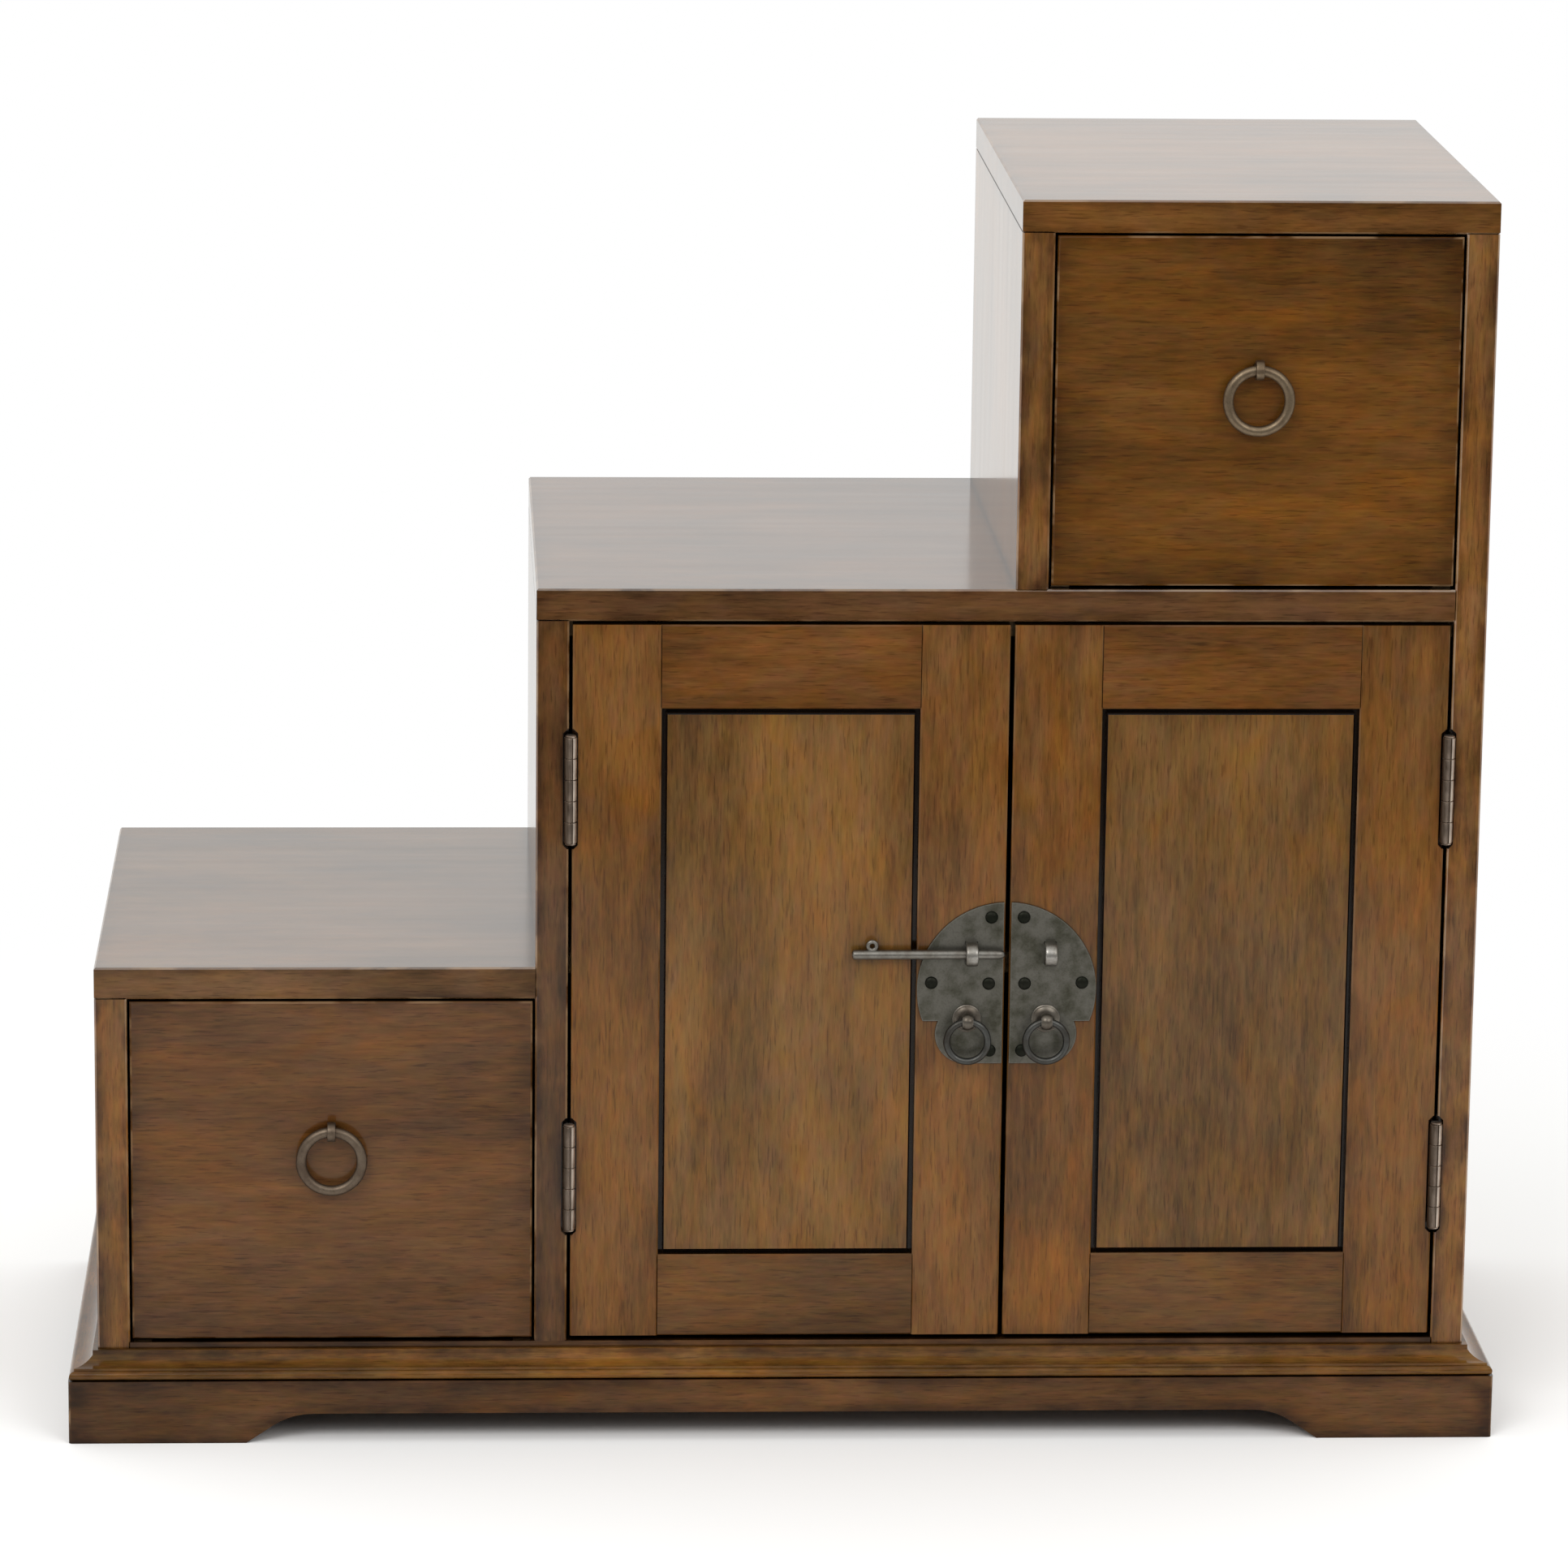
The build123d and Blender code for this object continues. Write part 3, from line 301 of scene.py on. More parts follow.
    relief = sh.math("SUBTRACT", sh.math("MULTIPLY", fibres, 0.5), pores)
    shader = sh.finish(
        Base_Color=colour, Roughness=sh.scaled(streaks, 0.4, 0.6), Specular_IOR_Level=0.0,
        Normal=sh.bump(relief, 0.2, 0.00012), Coat_Weight=1.0,
        Coat_Roughness=LACQUER_ROUGHNESS, Coat_IOR=gloss,
        Coat_Normal=sh.bump(layer(sh, space, RIPPLE), 0.1, 0.0012))
    if front_coat < 1:
        coat = sh.add("ShaderNodeMapRange", {
            "Value": layer(sh, space, POLISH), "From Min": 0.3, "From Max": 0.7,
            "To Min": 0.95, "To Max": 1.0})
        faces_front = sh.math("GREATER_THAN", forwards, FACES_FRONT)
        dull = sh.math("MULTIPLY", faces_front, 1 - front_coat)
        sh.feed(shader.inputs["Coat Weight"], sh.math("SUBTRACT", coat, dull, clamp=True))
    return material


def bare_wood(name, axis, light, dark, grimy=False):
    """Pale unstained wood or plywood inside the chest."""
    material, sh = new_material(name)
    space = grain_space(sh, sh.add("ShaderNodeTexCoord").outputs["Object"], axis)
    figure, streaks, fibres = (layer(sh, space, spec)
                               for spec in (BARE_FIGURE, BARE_STREAKS, BARE_FIBRES))
    tone = sh.math("ADD", sh.math("MULTIPLY", figure, 0.5), sh.math("MULTIPLY", streaks, 0.5))
    colour = sh.mix(sh.ramp(tone, (0.35, 0.0), (0.68, 1.0)), dark, light)
    colour = sh.stain(sh.ramp(fibres, (0.55, 0.0), (0.75, 0.4)), colour, BARE_PORE_TINT)
    if grimy:
        colour = sh.stain(sh.ramp(layer(sh, space, GRIME), (0.5, 0.0), (0.75, 0.5)), colour,
                          GRIME_TINT)
    sh.finish(Base_Color=colour, Roughness=sh.scaled(streaks, 0.55, 0.75),
              Normal=sh.bump(fibres, 0.3, 0.0002))
    return material


# ---- Metal ------------------------------------------------------------------------
# Noises: cycles per metre, detail, roughness. The scrapes are a layer, as for the woods.
METAL_CLOUD = (85, 4, 0.6)
METAL_SPECKS = (900, 3, 0.6)
BARREL_CLOUD = (120, 3, 0.6)
SCRAPES = (900, 60, 3, 0.6, 0.0)
# How far in from an edge the wear and painted highlight reach, and with how many rays.
EDGE_WEAR_HIGHLIGHT_REACH, EDGE_WEAR_HIGHLIGHT_SAMPLES = 0.9 * MM, 4
SPECK_TINT = (0.5, 0.48, 0.46)
SCRAPE_TINT = (0.55, 0.5, 0.46)


def metal(name, base, wear_and_highlight, tarnish, rough, dents=0.3):
    """Antiqued metal: a dark finish, tarnish in patches and brighter edges, partly wear and
    partly a painted highlight.
    """
    material, sh = new_material(name)
    place = sh.add("ShaderNodeTexCoord").outputs["Object"]
    cloud = sh.noise(place, *METAL_CLOUD)
    speck = sh.noise(place, *METAL_SPECKS)
    colour = sh.mix(sh.ramp(cloud, (0.42, 0.0), (0.66, 1.0)), base, tarnish)
    colour = sh.stain(sh.ramp(speck, (0.5, 0.0), (0.75, 0.5)), colour, SPECK_TINT)
    # Wear and painted highlight: near every edge the colour turns towards the bright one, in
    # patches.
    edge = sh.ramp(sh.edge_turn(EDGE_WEAR_HIGHLIGHT_REACH, EDGE_WEAR_HIGHLIGHT_SAMPLES), (0.86, 1.0), (0.985, 0.0))
    edge = sh.math("MULTIPLY", edge, sh.ramp(cloud, (0.3, 0.35), (0.6, 1.0)))
    colour = sh.mix(sh.math("MULTIPLY", edge, 0.5), colour, wear_and_highlight)
    height = sh.math("ADD", sh.math("MULTIPLY", cloud, dents), sh.math("MULTIPLY", speck, 0.12))
    sh.finish(Base_Color=colour, Metallic=1.0, Normal=sh.bump(height, 0.5, 0.0005),
              Roughness=sh.scaled(cloud, rough - 0.08, rough + 0.12))
    return material


def barrel_metal(name, lit, middle, dark):
    """Hinge barrels with painted light: a painted highlight on the ends and down one side,
    painted shade down the other.
    """
    material, sh = new_material(name)
    coordinates = sh.add("ShaderNodeTexCoord").outputs
    side, _, up = sh.add("ShaderNodeSeparateXYZ", {0: coordinates["Normal"]}).outputs
    cloud = sh.noise(coordinates["Object"], *BARREL_CLOUD)
    scrapes = layer(sh, coordinates["Object"], SCRAPES)
    # Painted light and shade: faces turned one way take the dark colour, faces turned the other
    # way the middle one.
    side_light_and_shade = sh.math("ADD", side, sh.math("MULTIPLY", sh.math("SUBTRACT", cloud, 0.5), 0.9))
    across = sh.math("MULTIPLY", sh.math("ADD", side_light_and_shade, 1.0), 0.5)
    colour = sh.mix(sh.ramp(across, (0.25, 0.0), (0.55, 1.0)), dark, middle)
    # Painted highlight: faces turned well to one side, and the ends, take the lit colour in
    # patches.
    wear_and_highlight = sh.math("MAXIMUM", sh.ramp(side, (0.22, 0.0), (0.36, 1.0)),
                   sh.ramp(sh.math("ABSOLUTE", up), (0.4, 0.0), (0.6, 1.0)))
    wear_and_highlight = sh.math("MULTIPLY", wear_and_highlight, sh.ramp(cloud, (0.3, 0.5), (0.6, 1.0)))
    colour = sh.mix(wear_and_highlight, colour, lit)
    colour = sh.stain(sh.ramp(scrapes, (0.5, 0.0), (0.75, 0.5)), colour, SCRAPE_TINT)
    sh.finish(Base_Color=colour, Metallic=1.0, Normal=sh.bump(cloud, 0.4, 0.0004),
              Roughness=sh.scaled(cloud, 0.32, 0.5))
    return material


# ---- Finish of each node ----------------------------------------------------------
# Linear base colours of the stained wood, then the light and dark of each bare wood.
CASE = (0.172, 0.0789, 0.0218)
DIVIDER = (0.1147, 0.0515, 0.0148)
TREADS = {"low": (0.108, 0.0545, 0.021), "mid": (0.098, 0.0455, 0.017),
          "high": (0.137, 0.058, 0.0137)}
DOOR = (0.1377, 0.0601, 0.015)
TOP_RAIL = (0.119, 0.048, 0.0113)
LOW_RAIL = (0.0948, 0.0429, 0.0112)
PANEL = (0.1339, 0.0653, 0.0178)
HIGH = (0.1034, 0.0414, 0.0072)
LOW = (0.094, 0.0413, 0.0125)
BASE = (0.0874, 0.0384, 0.0107)
MOULDING = (0.152, 0.0702, 0.0151)
PALE = (srgb("c9a77c"), srgb("a98457"))
PLYWOOD = (srgb("b8946a"), srgb("93704a"))
STAINED_PLYWOOD = (srgb("7d5c3a"), srgb("5f4227"))

finishes = {}


def finish_node(name, material):
    node = nodes[name]
    node.data.materials.clear()
    node.data.materials.append(material)


def wood_node(name, axis, base, key, **more):
    if (key, axis) not in finishes:
        finishes[key, axis] = wood(f"{key}_{axis.lower()}", axis, base, **more)
    finish_node(name, finishes[key, axis])


for name in ("side_left", "side_tall", "side_right"):
    wood_node(name, "Z", CASE, "case_wood", blotch=0.5, gloss=1.8, front_coat=0.25, burn=1.0)
wood_node("divider", "Z", DIVIDER, "divider_wood", blotch=0.7, gloss=1.8, front_coat=0.25,
          burn=1.0)
for tier, base in TREADS.items():
    wood_node(f"top_{tier}", "X", base, f"{tier}_tread_wood", blotch=0.35, hue=0.6, gloss=2.1,
              front_coat=0.1, burn=0.6, rub=0.45)
wood_node("bottom_board", "X", BASE, "bottom_wood", blotch=0.35, hue=0.6)
for side, axis in (("front", "X"), ("back", "X"), ("left", "Y"), ("right", "Y")):
    wood_node(f"plinth_{side}", axis, BASE, "plinth_wood", blotch=0.5)
wood_node("base_moulding", "XY", MOULDING, "moulding_wood", blotch=0.4, rub=0.0)
wood_node("high_drawer_front", "X", HIGH, "high_front_wood", blotch=0.7, burn=0.55, rub=0.5)
wood_node("low_drawer_front", "X", LOW, "low_front_wood", blotch=0.2, hue=0.8, burn=0.5,
          rub=0.4)
for door in ("left_door", "right_door"):
    for stile in ("hinge_stile", "lock_stile"):
        wood_node(f"{door}_{stile}", "Z", DOOR, "door_wood", burn=0.35, rub=0.2)
    wood_node(f"{door}_top_rail", "X", TOP_RAIL, "top_rail_wood", burn=0.35, rub=0.1)
    wood_node(f"{door}_bottom_rail", "X", LOW_RAIL, "bottom_rail_wood", burn=0.35, rub=0.1)
    wood_node(f"{door}_panel", "Z", PANEL, "panel_wood", blotch=0.25, burn=0.4, inked=True)

inner_x = bare_wood("inner_wood_x", "X", *PALE)
inner_y = bare_wood("inner_wood_y", "Y", *PALE)
drawer_ply = bare_wood("plywood_x", "X", *PLYWOOD, grimy=True)
back_ply = bare_wood("plywood_z", "Z", *STAINED_PLYWOOD, grimy=True)
for name in ("shelf", "door_stop_strip", "plinth_corner_blocks", "shelf_pegs",
             "low_drawer_back", "high_drawer_back"):
    finish_node(name, inner_x)
for drawer in ("low_drawer", "high_drawer"):
    for side in ("side_left", "side_right"):
        finish_node(f"{drawer}_{side}", inner_y)
    finish_node(f"{drawer}_bottom", drawer_ply)
for tier in TREADS:
    finish_node(f"back_panel_{tier}", back_ply)

# The base colour, the colour of the edges' wear and painted highlight, and the tarnished colour
# of each metal, its roughness and its dents.
METALS = {
    "plate": ((0.125, 0.119, 0.101), (0.40, 0.40, 0.35), (0.062, 0.060, 0.044), 0.48, 0.8),
    "ring": ((0.188, 0.141, 0.092), (0.456, 0.351, 0.248), (0.125, 0.088, 0.056), 0.42),
    "low_ring": ((0.14, 0.107, 0.078), (0.34, 0.27, 0.21), (0.094, 0.067, 0.048), 0.45),
    "pull": ((0.075, 0.075, 0.07), (0.26, 0.27, 0.27), (0.05, 0.046, 0.04), 0.4),
    "eye": ((0.31, 0.295, 0.27), (0.55, 0.53, 0.49), (0.17, 0.155, 0.13), 0.36),
    "hinge": ((0.19, 0.15, 0.12), (0.46, 0.40, 0.34), (0.10, 0.076, 0.06), 0.38),
    "nail": ((0.018, 0.018, 0.014), (0.09, 0.09, 0.08), (0.01, 0.012, 0.008), 0.45),
    "post": ((0.13, 0.115, 0.095), (0.45, 0.43, 0.39), (0.085, 0.07, 0.055), 0.36),
    "pin": ((0.20, 0.19, 0.17), (0.5, 0.48, 0.44), (0.13, 0.115, 0.095), 0.36),
    "screw": ((0.30, 0.27, 0.22), (0.6, 0.56, 0.5), (0.17, 0.14, 0.11), 0.35)}
metals = {name: metal(f"{name}_metal", *numbers) for name, numbers in METALS.items()}
# The barrels' painted highlight, middle tone and painted shade.
metals["barrel"] = barrel_metal("hinge_barrel", (0.50, 0.42, 0.35), (0.22, 0.175, 0.14),
                                (0.085, 0.062, 0.045))
for name in nodes:
    if "hinge_leaves" in name or name == "hinge_pins":
        finish_node(name, metals["hinge"])
    elif "screws" in name:
        finish_node(name, metals["screw"])
    elif name.endswith("lock_plate"):
        finish_node(name, metals["plate"])
    elif name.endswith("lock_eye"):
        finish_node(name, metals["eye"])
    elif name.endswith(("ring", "ring_staple", "pull_post")) or name == "lock_pin":
        finish_node(name, metals["ring"])


# ---- Metalwork --------------------------------------------------------------------
SMOOTH_BELOW = math.radians(35)
BAR_CORNERS = 20
# The section of a forged bar: a square of half width 1 with well rounded corners.
ROUNDED = [(math.copysign(abs(math.cos(a)) ** 0.4, math.cos(a)),
            math.copysign(abs(math.sin(a)) ** 0.4, math.sin(a)))
           for a in (TURN * (i + 0.5) / BAR_CORNERS for i in range(BAR_CORNERS))]


def around(count):
    """Evenly spaced angles round a full turn."""
    return [TURN * i / count for i in range(count)]


def skin(bm, rows, looped=False):
    """Faces between rows of vertices, with capped ends where the rows aren't looped."""
    pairs = list(zip(rows, rows[1:]))
    if looped:
        pairs.append((rows[-1], rows[0]))
    for row, following in pairs:
        for i in range(len(row)):
            j = (i + 1) % len(row)
            bm.faces.new((row[i], row[j], following[j], following[i]))
    if not looped:
        bm.faces.new(rows[0])
        bm.faces.new(rows[-1])


def lathe(bm, origin, axis, profile, segments=32):
    """A turned form along an axis, from (height, radius) pairs in millimetres."""
    turn = Vector(axis).to_track_quat("Z", "Y").to_matrix()
    rows = []
    for height, radius in profile:
        rows.append([bm.verts.new(Vector(origin) + turn @ Vector(
            (radius * MM * math.cos(a), radius * MM * math.sin(a), height * MM)))
            for a in around(segments)])
    skin(bm, rows)


def tube(bm, path, radii, segments=16):
    """Closed round wire along a path in the X-Z plane, its radius given point by point."""
    rows = []
    for i, point in enumerate(path):
        run = (path[(i + 1) % len(path)] - path[i - 1]).normalized()
        out = Vector((run.z, 0, -run.x))
        rows.append([bm.verts.new(point + radii[i] * (out * math.cos(a)
                                                      + Vector((0, math.sin(a), 0))))
                     for a in around(segments)])
    skin(bm, rows, looped=True)


def strap(bm, x, path, width, thicknesses):
    """A flat bar bent along (y, z) points, with rounded edges."""
    rows = []
    for i, point in enumerate(path):
        before, after = path[max(i - 1, 0)], path[min(i + 1, len(path) - 1)]
        run = (Vector(after) - Vector(before)).normalized()
        rows.append([bm.verts.new((x + u * width / 2,
                                   point[0] - run.y * v * thicknesses[i] / 2,
                                   point[1] + run.x * v * thicknesses[i] / 2))
                     for u, v in ROUNDED])
    skin(bm, rows)


def mesh_object(name, bm):
    """The scene object of a finished bmesh."""
    bmesh.ops.recalc_face_normals(bm, faces=bm.faces)
    mesh = bpy.data.meshes.new(name)
    bm.to_mesh(mesh)
    bm.free()
    made = bpy.data.objects.new(name, mesh)
    scene.collection.objects.link(made)
    return made


def add_piece(name, bm, body, material, slot, *replaced, cutter=None):
    """Makes one piece, cuts it, gives it its body and hides the nodes it replaces. The slot is
    not used.
    """
    piece = mesh_object(name, bm)
    piece.data.materials.append(material)
    if cutter:
        tool = mesh_object(f"{name}_cutter", cutter)
        cut = piece.modifiers.new("cut", "BOOLEAN")
        cut.object, cut.operation, cut.solver, cut.use_self = tool, "DIFFERENCE", "EXACT", True
        bpy.context.view_layer.update()
        graph = bpy.context.evaluated_depsgraph_get()
        whole = bpy.data.meshes.new_from_object(piece.evaluated_get(graph))
        piece.modifiers.clear()
        piece.data = whole
        bpy.data.objects.remove(tool)
    piece.data.shade_smooth()
    piece.data.set_sharp_from_angle(angle=SMOOTH_BELOW)
    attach(piece, body)
    if replaced:
        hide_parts(*replaced)
    return piece


def cube(bm, centre, size):
    """A box that only cuts other pieces."""
    for vert in bmesh.ops.create_cube(bm, size=1)["verts"]:
        vert.co = Vector(centre) + Vector([c * s for c, s in zip(vert.co, size)])


RING_POINTS, RING_SIDES = 120, 20
RING_WAVES = (2, 3, 5, 8, 11)
REACH_SWELL, WIRE_SWELL = 0.006, 0.05
DRAWER_STOUT, DRAWER_FLAT = 1.08, 0.89


def forged_ring(name, node, body, seed, material, stout=0.97, flat=1.0):
    """A ring of hand-forged wire in place of its plain node.

    stout is the wire's width beside its node's, and flat its depth beside its width.
    """
    low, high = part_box(node)
    centre = (low + high) / 2
    wire = (high.y - low.y) / 2
    middle = (high.x - low.x) / 2 - wire * max(stout, 1.0)
    rng = random.Random(seed)
    waves = [(number, rng.uniform(0, TURN), rng.uniform(0.3, 1.0)) for number in RING_WAVES]
    path, radii = [], []
    for angle in around(RING_POINTS):
        swell = sum(size * math.sin(number * angle + start)
                    for number, start, size in waves) / len(waves)
        reach = middle * (1 + REACH_SWELL * swell)
        path.append(centre + Vector((reach * math.cos(angle), 0, reach * math.sin(angle))))
        radii.append(wire * (stout + WIRE_SWELL * swell))
    bm = bmesh.new()
    tube(bm, path, radii, RING_SIDES)
    for vert in bm.verts:
        vert.co.y = centre.y + (vert.co.y - centre.y) * flat
    add_piece(name, bm, body, material, "dark_iron", node)


STAPLE_BAR, STAPLE_STEPS = 2.2 * MM, 32


def ring_staple(name, node, body, ring_node, material):
    """The split staple that holds a drawer's ring, clinched inside the drawer front."""
    low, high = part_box(node)
    ring_low, ring_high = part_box(ring_node)
    pivot_y = (ring_low.y + ring_high.y) / 2
    level = (low.z + high.z) / 2
    half = STAPLE_BAR / 2
    reach = pivot_y - low.y - half
    rear = high.y - half
    start = math.asin(half / reach)
    path = [(rear, high.z), (rear, level + STAPLE_BAR), (rear - half, level + half)]
    for i in range(STAPLE_STEPS + 1):
        angle = start + (TURN - 2 * start) * i / STAPLE_STEPS
        path.append((pivot_y + reach * math.cos(angle), level + reach * math.sin(angle)))
    path += [(rear - half, level - half), (rear, level - STAPLE_BAR), (rear, low.z)]
    bm = bmesh.new()
    strap(bm, (low.x + high.x) / 2, path, high.x - low.x, [STAPLE_BAR] * len(path))
    add_piece(name, bm, body, material, "dark_iron", node)


EYE_BAR, EYE_LEG, EYE_STEPS = 3.5 * MM, 2.0 * MM, 24


def lock_eye(name, node, body):
    """The half-round eye that the lock's pin slides through, with its two legs."""
    low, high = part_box(node)
    level = (low.z + high.z) / 2
    outer = (high.z - low.z) / 2
    pivot_y = low.y + outer
    reach = outer - EYE_BAR / 2
    side = [(high.y, outer - EYE_LEG / 2, EYE_LEG),
            (plate_front + 0.6 * MM, outer - EYE_LEG / 2, EYE_LEG),
            (plate_front + 0.3 * MM, reach, EYE_BAR)]
    stations = side + [(pivot_y + reach * math.cos(a), reach * math.sin(a), EYE_BAR)
                       for a in (math.pi / 2 + math.pi * i / EYE_STEPS
                                 for i in range(EYE_STEPS + 1))]
    stations += [(y, -z, thickness) for y, z, thickness in reversed(side)]
    bm = bmesh.new()
    strap(bm, (low.x + high.x) / 2, [(y, level + z) for y, z, _ in stations], high.x - low.x,
          [thickness for *_, thickness in stations])
    add_piece(name, bm, body, metals["eye"], "dark_iron", node)


# Height above the lock plate and radius of the pull boss, in millimetres, and its hole.
BOSS = [(-13, 0.4), (-12.9, 1.9), (0, 2.0), (0, 7.9), (0.35, 8.0), (0.7, 7.9), (1.0, 7.5),
        (1.05, 7.0), (1.3, 6.6), (1.9, 5.4), (2.15, 4.3), (2.2, 3.3), (2.4, 2.7), (3.0, 2.5),
        (3.5, 2.9), (4.2, 3.75), (5.2, 4.4), (6.4, 4.7), (7.6, 4.75), (8.8, 4.6), (10.0, 4.0),
        (11.0, 3.0), (11.7, 1.7), (11.95, 0.6)]
BOSS_HOLE_LEVEL, BOSS_HOLE_RADIUS, BOSS_HALF = 7.6, 2.7, 8
# What is cut off the ball's two cheeks: how far out and up, and the cutting block's size.
CHEEK_OUT, CHEEK_LEVEL, CHEEK_BLOCK = 5.0, 8.2, (4, 9, 12)


def pull_post(name, node, body):
    """The turned boss and drilled ball that a door's ring hangs from."""
    low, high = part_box(node)
    x, level = (low.x + high.x) / 2, (low.z + high.z) / 2
    bm = bmesh.new()
    lathe(bm, (x, plate_front, level), (0, -1, 0), BOSS, 40)
    cutter = bmesh.new()
    lathe(cutter, (x - BOSS_HALF * MM, plate_front - BOSS_HOLE_LEVEL * MM, level), (1, 0, 0),
          [(0, BOSS_HOLE_RADIUS), (2 * BOSS_HALF, BOSS_HOLE_RADIUS)], 28)
    for side in (-1, 1):
        cube(cutter, (x + side * CHEEK_OUT * MM, plate_front - CHEEK_LEVEL * MM, level),
             [size * MM for size in CHEEK_BLOCK])
    add_piece(name, bm, body, metals["post"], "dark_iron", node, cutter=cutter)


# The butt hinges, in millimetres.
KNUCKLES, KNUCKLE_LENGTH = 5, 12
HINGE_LENGTH = KNUCKLES * KNUCKLE_LENGTH
BARREL, SEAM_DEPTH, SEAM_HALF_ANGLE, SEAM = 3.5, 0.8, 0.15, -1.33
LEAF_WIDTH, LEAF_STEP, LEAF_FACE, LEAF_BACK = 16, 4.1, 0.3, 1.9
SCREW_SETBACK, SCREW_PITCH = 9.75, 20
HEAD_RADIUS, HEAD_DEPTH, SLOT_HALF = 2.55, 0.6, 0.4
HALF_HEAD_STEPS = 12
SHANK = [(0, 2.05), (0.7, 1.5), (10.5, 1.5), (11.3, 0.2)]
COUNTERSINK = [(0, 2.9), (0.1, 2.8), (1.4, 1.6), (2.5, 1.6)]
PIN_END = [(0, 2.6), (0.25, 3.0), (0.7, 3.05), (1.0, 2.7), (1.25, 1.2), (1.3, 0.3)]
KNUCKLE_CORNERS, KNUCKLE_PLAY = 48, 0.15


def slotted_head(bm, centre, away, turn):
    """A countersunk screw, its head flush with the leaf and split by a straight slot."""
    across = Vector((0, math.cos(turn), math.sin(turn)))
    along = Vector((0, -math.sin(turn), math.cos(turn)))
    into = Vector((away, 0, 0)) * MM
    start = math.asin(SLOT_HALF / HEAD_RADIUS)
    for half in (-1, 1):
        outline = [(along * math.cos(a) + across * half * math.sin(a)) * HEAD_RADIUS * MM
                   for a in (start + (math.pi - 2 * start) * i / HALF_HEAD_STEPS
                             for i in range(HALF_HEAD_STEPS + 1))]
        skin(bm, [[bm.verts.new(centre + point * size + into * depth) for point in outline]
                  for depth, size in ((0.0, 0.96), (0.06, 1.0), (HEAD_DEPTH, 0.86))])
    lathe(bm, centre + into * HEAD_DEPTH * 0.98, (away, 0, 0), SHANK, 16)


def screw_centres(axis_x, away):
    """Where one side's six leaf screws stand on the faces of its two leaves."""
    return [Vector((axis_x + away * LEAF_FACE * MM, hinge_y + SCREW_SETBACK * MM,
                    bottom + (HINGE_LENGTH / 2 + step * SCREW_PITCH) * MM))
            for bottom in hinge_levels for step in (-1, 0, 1)]


def leaf(bm, axis_x, away, bottom, own):
    """One leaf, stepped back from the other leaf's knuckles."""
    front = []
    for number in range(KNUCKLES):
        y = hinge_y + (0 if number in own else LEAF_STEP * MM)
        front += [(y, bottom + number * KNUCKLE_LENGTH * MM),
                  (y, bottom + (number + 1) * KNUCKLE_LENGTH * MM)]
    rear = hinge_y + LEAF_WIDTH * MM
    outline = [(rear, bottom)] + front + [(rear, bottom + HINGE_LENGTH * MM)]
    skin(bm, [[bm.verts.new((axis_x + away * reach * MM, y, z)) for y, z in outline]
              for reach in (LEAF_FACE, LEAF_BACK)])


def knuckle(bm, axis_x, bottom, top):
    """One rolled knuckle with eased ends and the seam where its leaf closes on itself."""
    section = []
    for angle in around(KNUCKLE_CORNERS):
        gap = abs((angle - SEAM + math.pi) % TURN - math.pi)
        section.append((angle, BARREL * MM if gap > SEAM_HALF_ANGLE
                        else (BARREL - SEAM_DEPTH) * MM))
    skin(bm, [[bm.verts.new((axis_x + reach * size * math.cos(angle),
                             hinge_y + reach * size * math.sin(angle), height))
               for angle, reach in section]
              for height, size in ((bottom, 0.9), (bottom + 0.12 * MM, 0.965),
                                   (bottom + 0.4 * MM, 1.0), (top - 0.4 * MM, 1.0),
                                   (top - 0.12 * MM, 0.965), (top, 0.9))])


def hinges(name, node, body, sides, own):
    """The leaves, knuckles and turned pin ends of one body."""
    bm, cutter, barrels = bmesh.new(), bmesh.new(), bmesh.new()
    for axis_x, away in sides:
        for bottom in hinge_levels:
            leaf(bm, axis_x, away, bottom, own)
            for number in own:
                start = bottom + number * KNUCKLE_LENGTH * MM
                knuckle(barrels, axis_x, start + KNUCKLE_PLAY * MM,
                        start + (KNUCKLE_LENGTH - KNUCKLE_PLAY) * MM)
            if 0 in own:
                for level, way in ((bottom + 0.1 * MM, -1),
                                   (bottom + (HINGE_LENGTH - 0.1) * MM, 1)):
                    lathe(barrels, (axis_x, hinge_y, level), (0, 0, way), PIN_END, 24)
        for centre in screw_centres(axis_x, away):
            lathe(cutter, centre - Vector((away * 0.1 * MM, 0, 0)), (away, 0, 0),
                  COUNTERSINK, 24)
    add_piece(name, bm, body, metals["hinge"], "antique_hinge", node, cutter=cutter)
    add_piece(f"{name}_barrels", barrels, body, metals["barrel"], "antique_hinge")


# The lock, in millimetres. Its nails stand out from the middle and up from the pin's level.
NAILS = ((9.0, 41.5), (42.0, 4.0), (10.0, 3.5), (9.0, -35.0))
NAIL = [(-11.5, 0.3), (-9, 1.3), (-0.2, 1.3), (-0.2, 3.4), (0, 3.6), (0.35, 3.55), (0.8, 3.2),
        (1.2, 2.5), (1.48, 1.5), (1.58, 0.4)]
PIN = [(0.05, 1.2), (0.25, 2.0), (0.9, 2.6), (1.6, 2.72), (30, 2.7), (60, 2.68), (80, 2.7),
       (82.5, 2.5), (84.2, 1.9), (84.85, 1.1), (84.95, 0.3)]
PIN_RADIUS, PIN_CURL, PIN_WIRE = 2.75, 2.35, 1.15
CURL_PLACE, CURL_POINTS = (11.2, 0, 5.0), 40
PIN_LEVEL = 50              # below the plates' tops
PLATE_WELD, PLATE_EASE = 0.001 * MM, 0.35 * MM

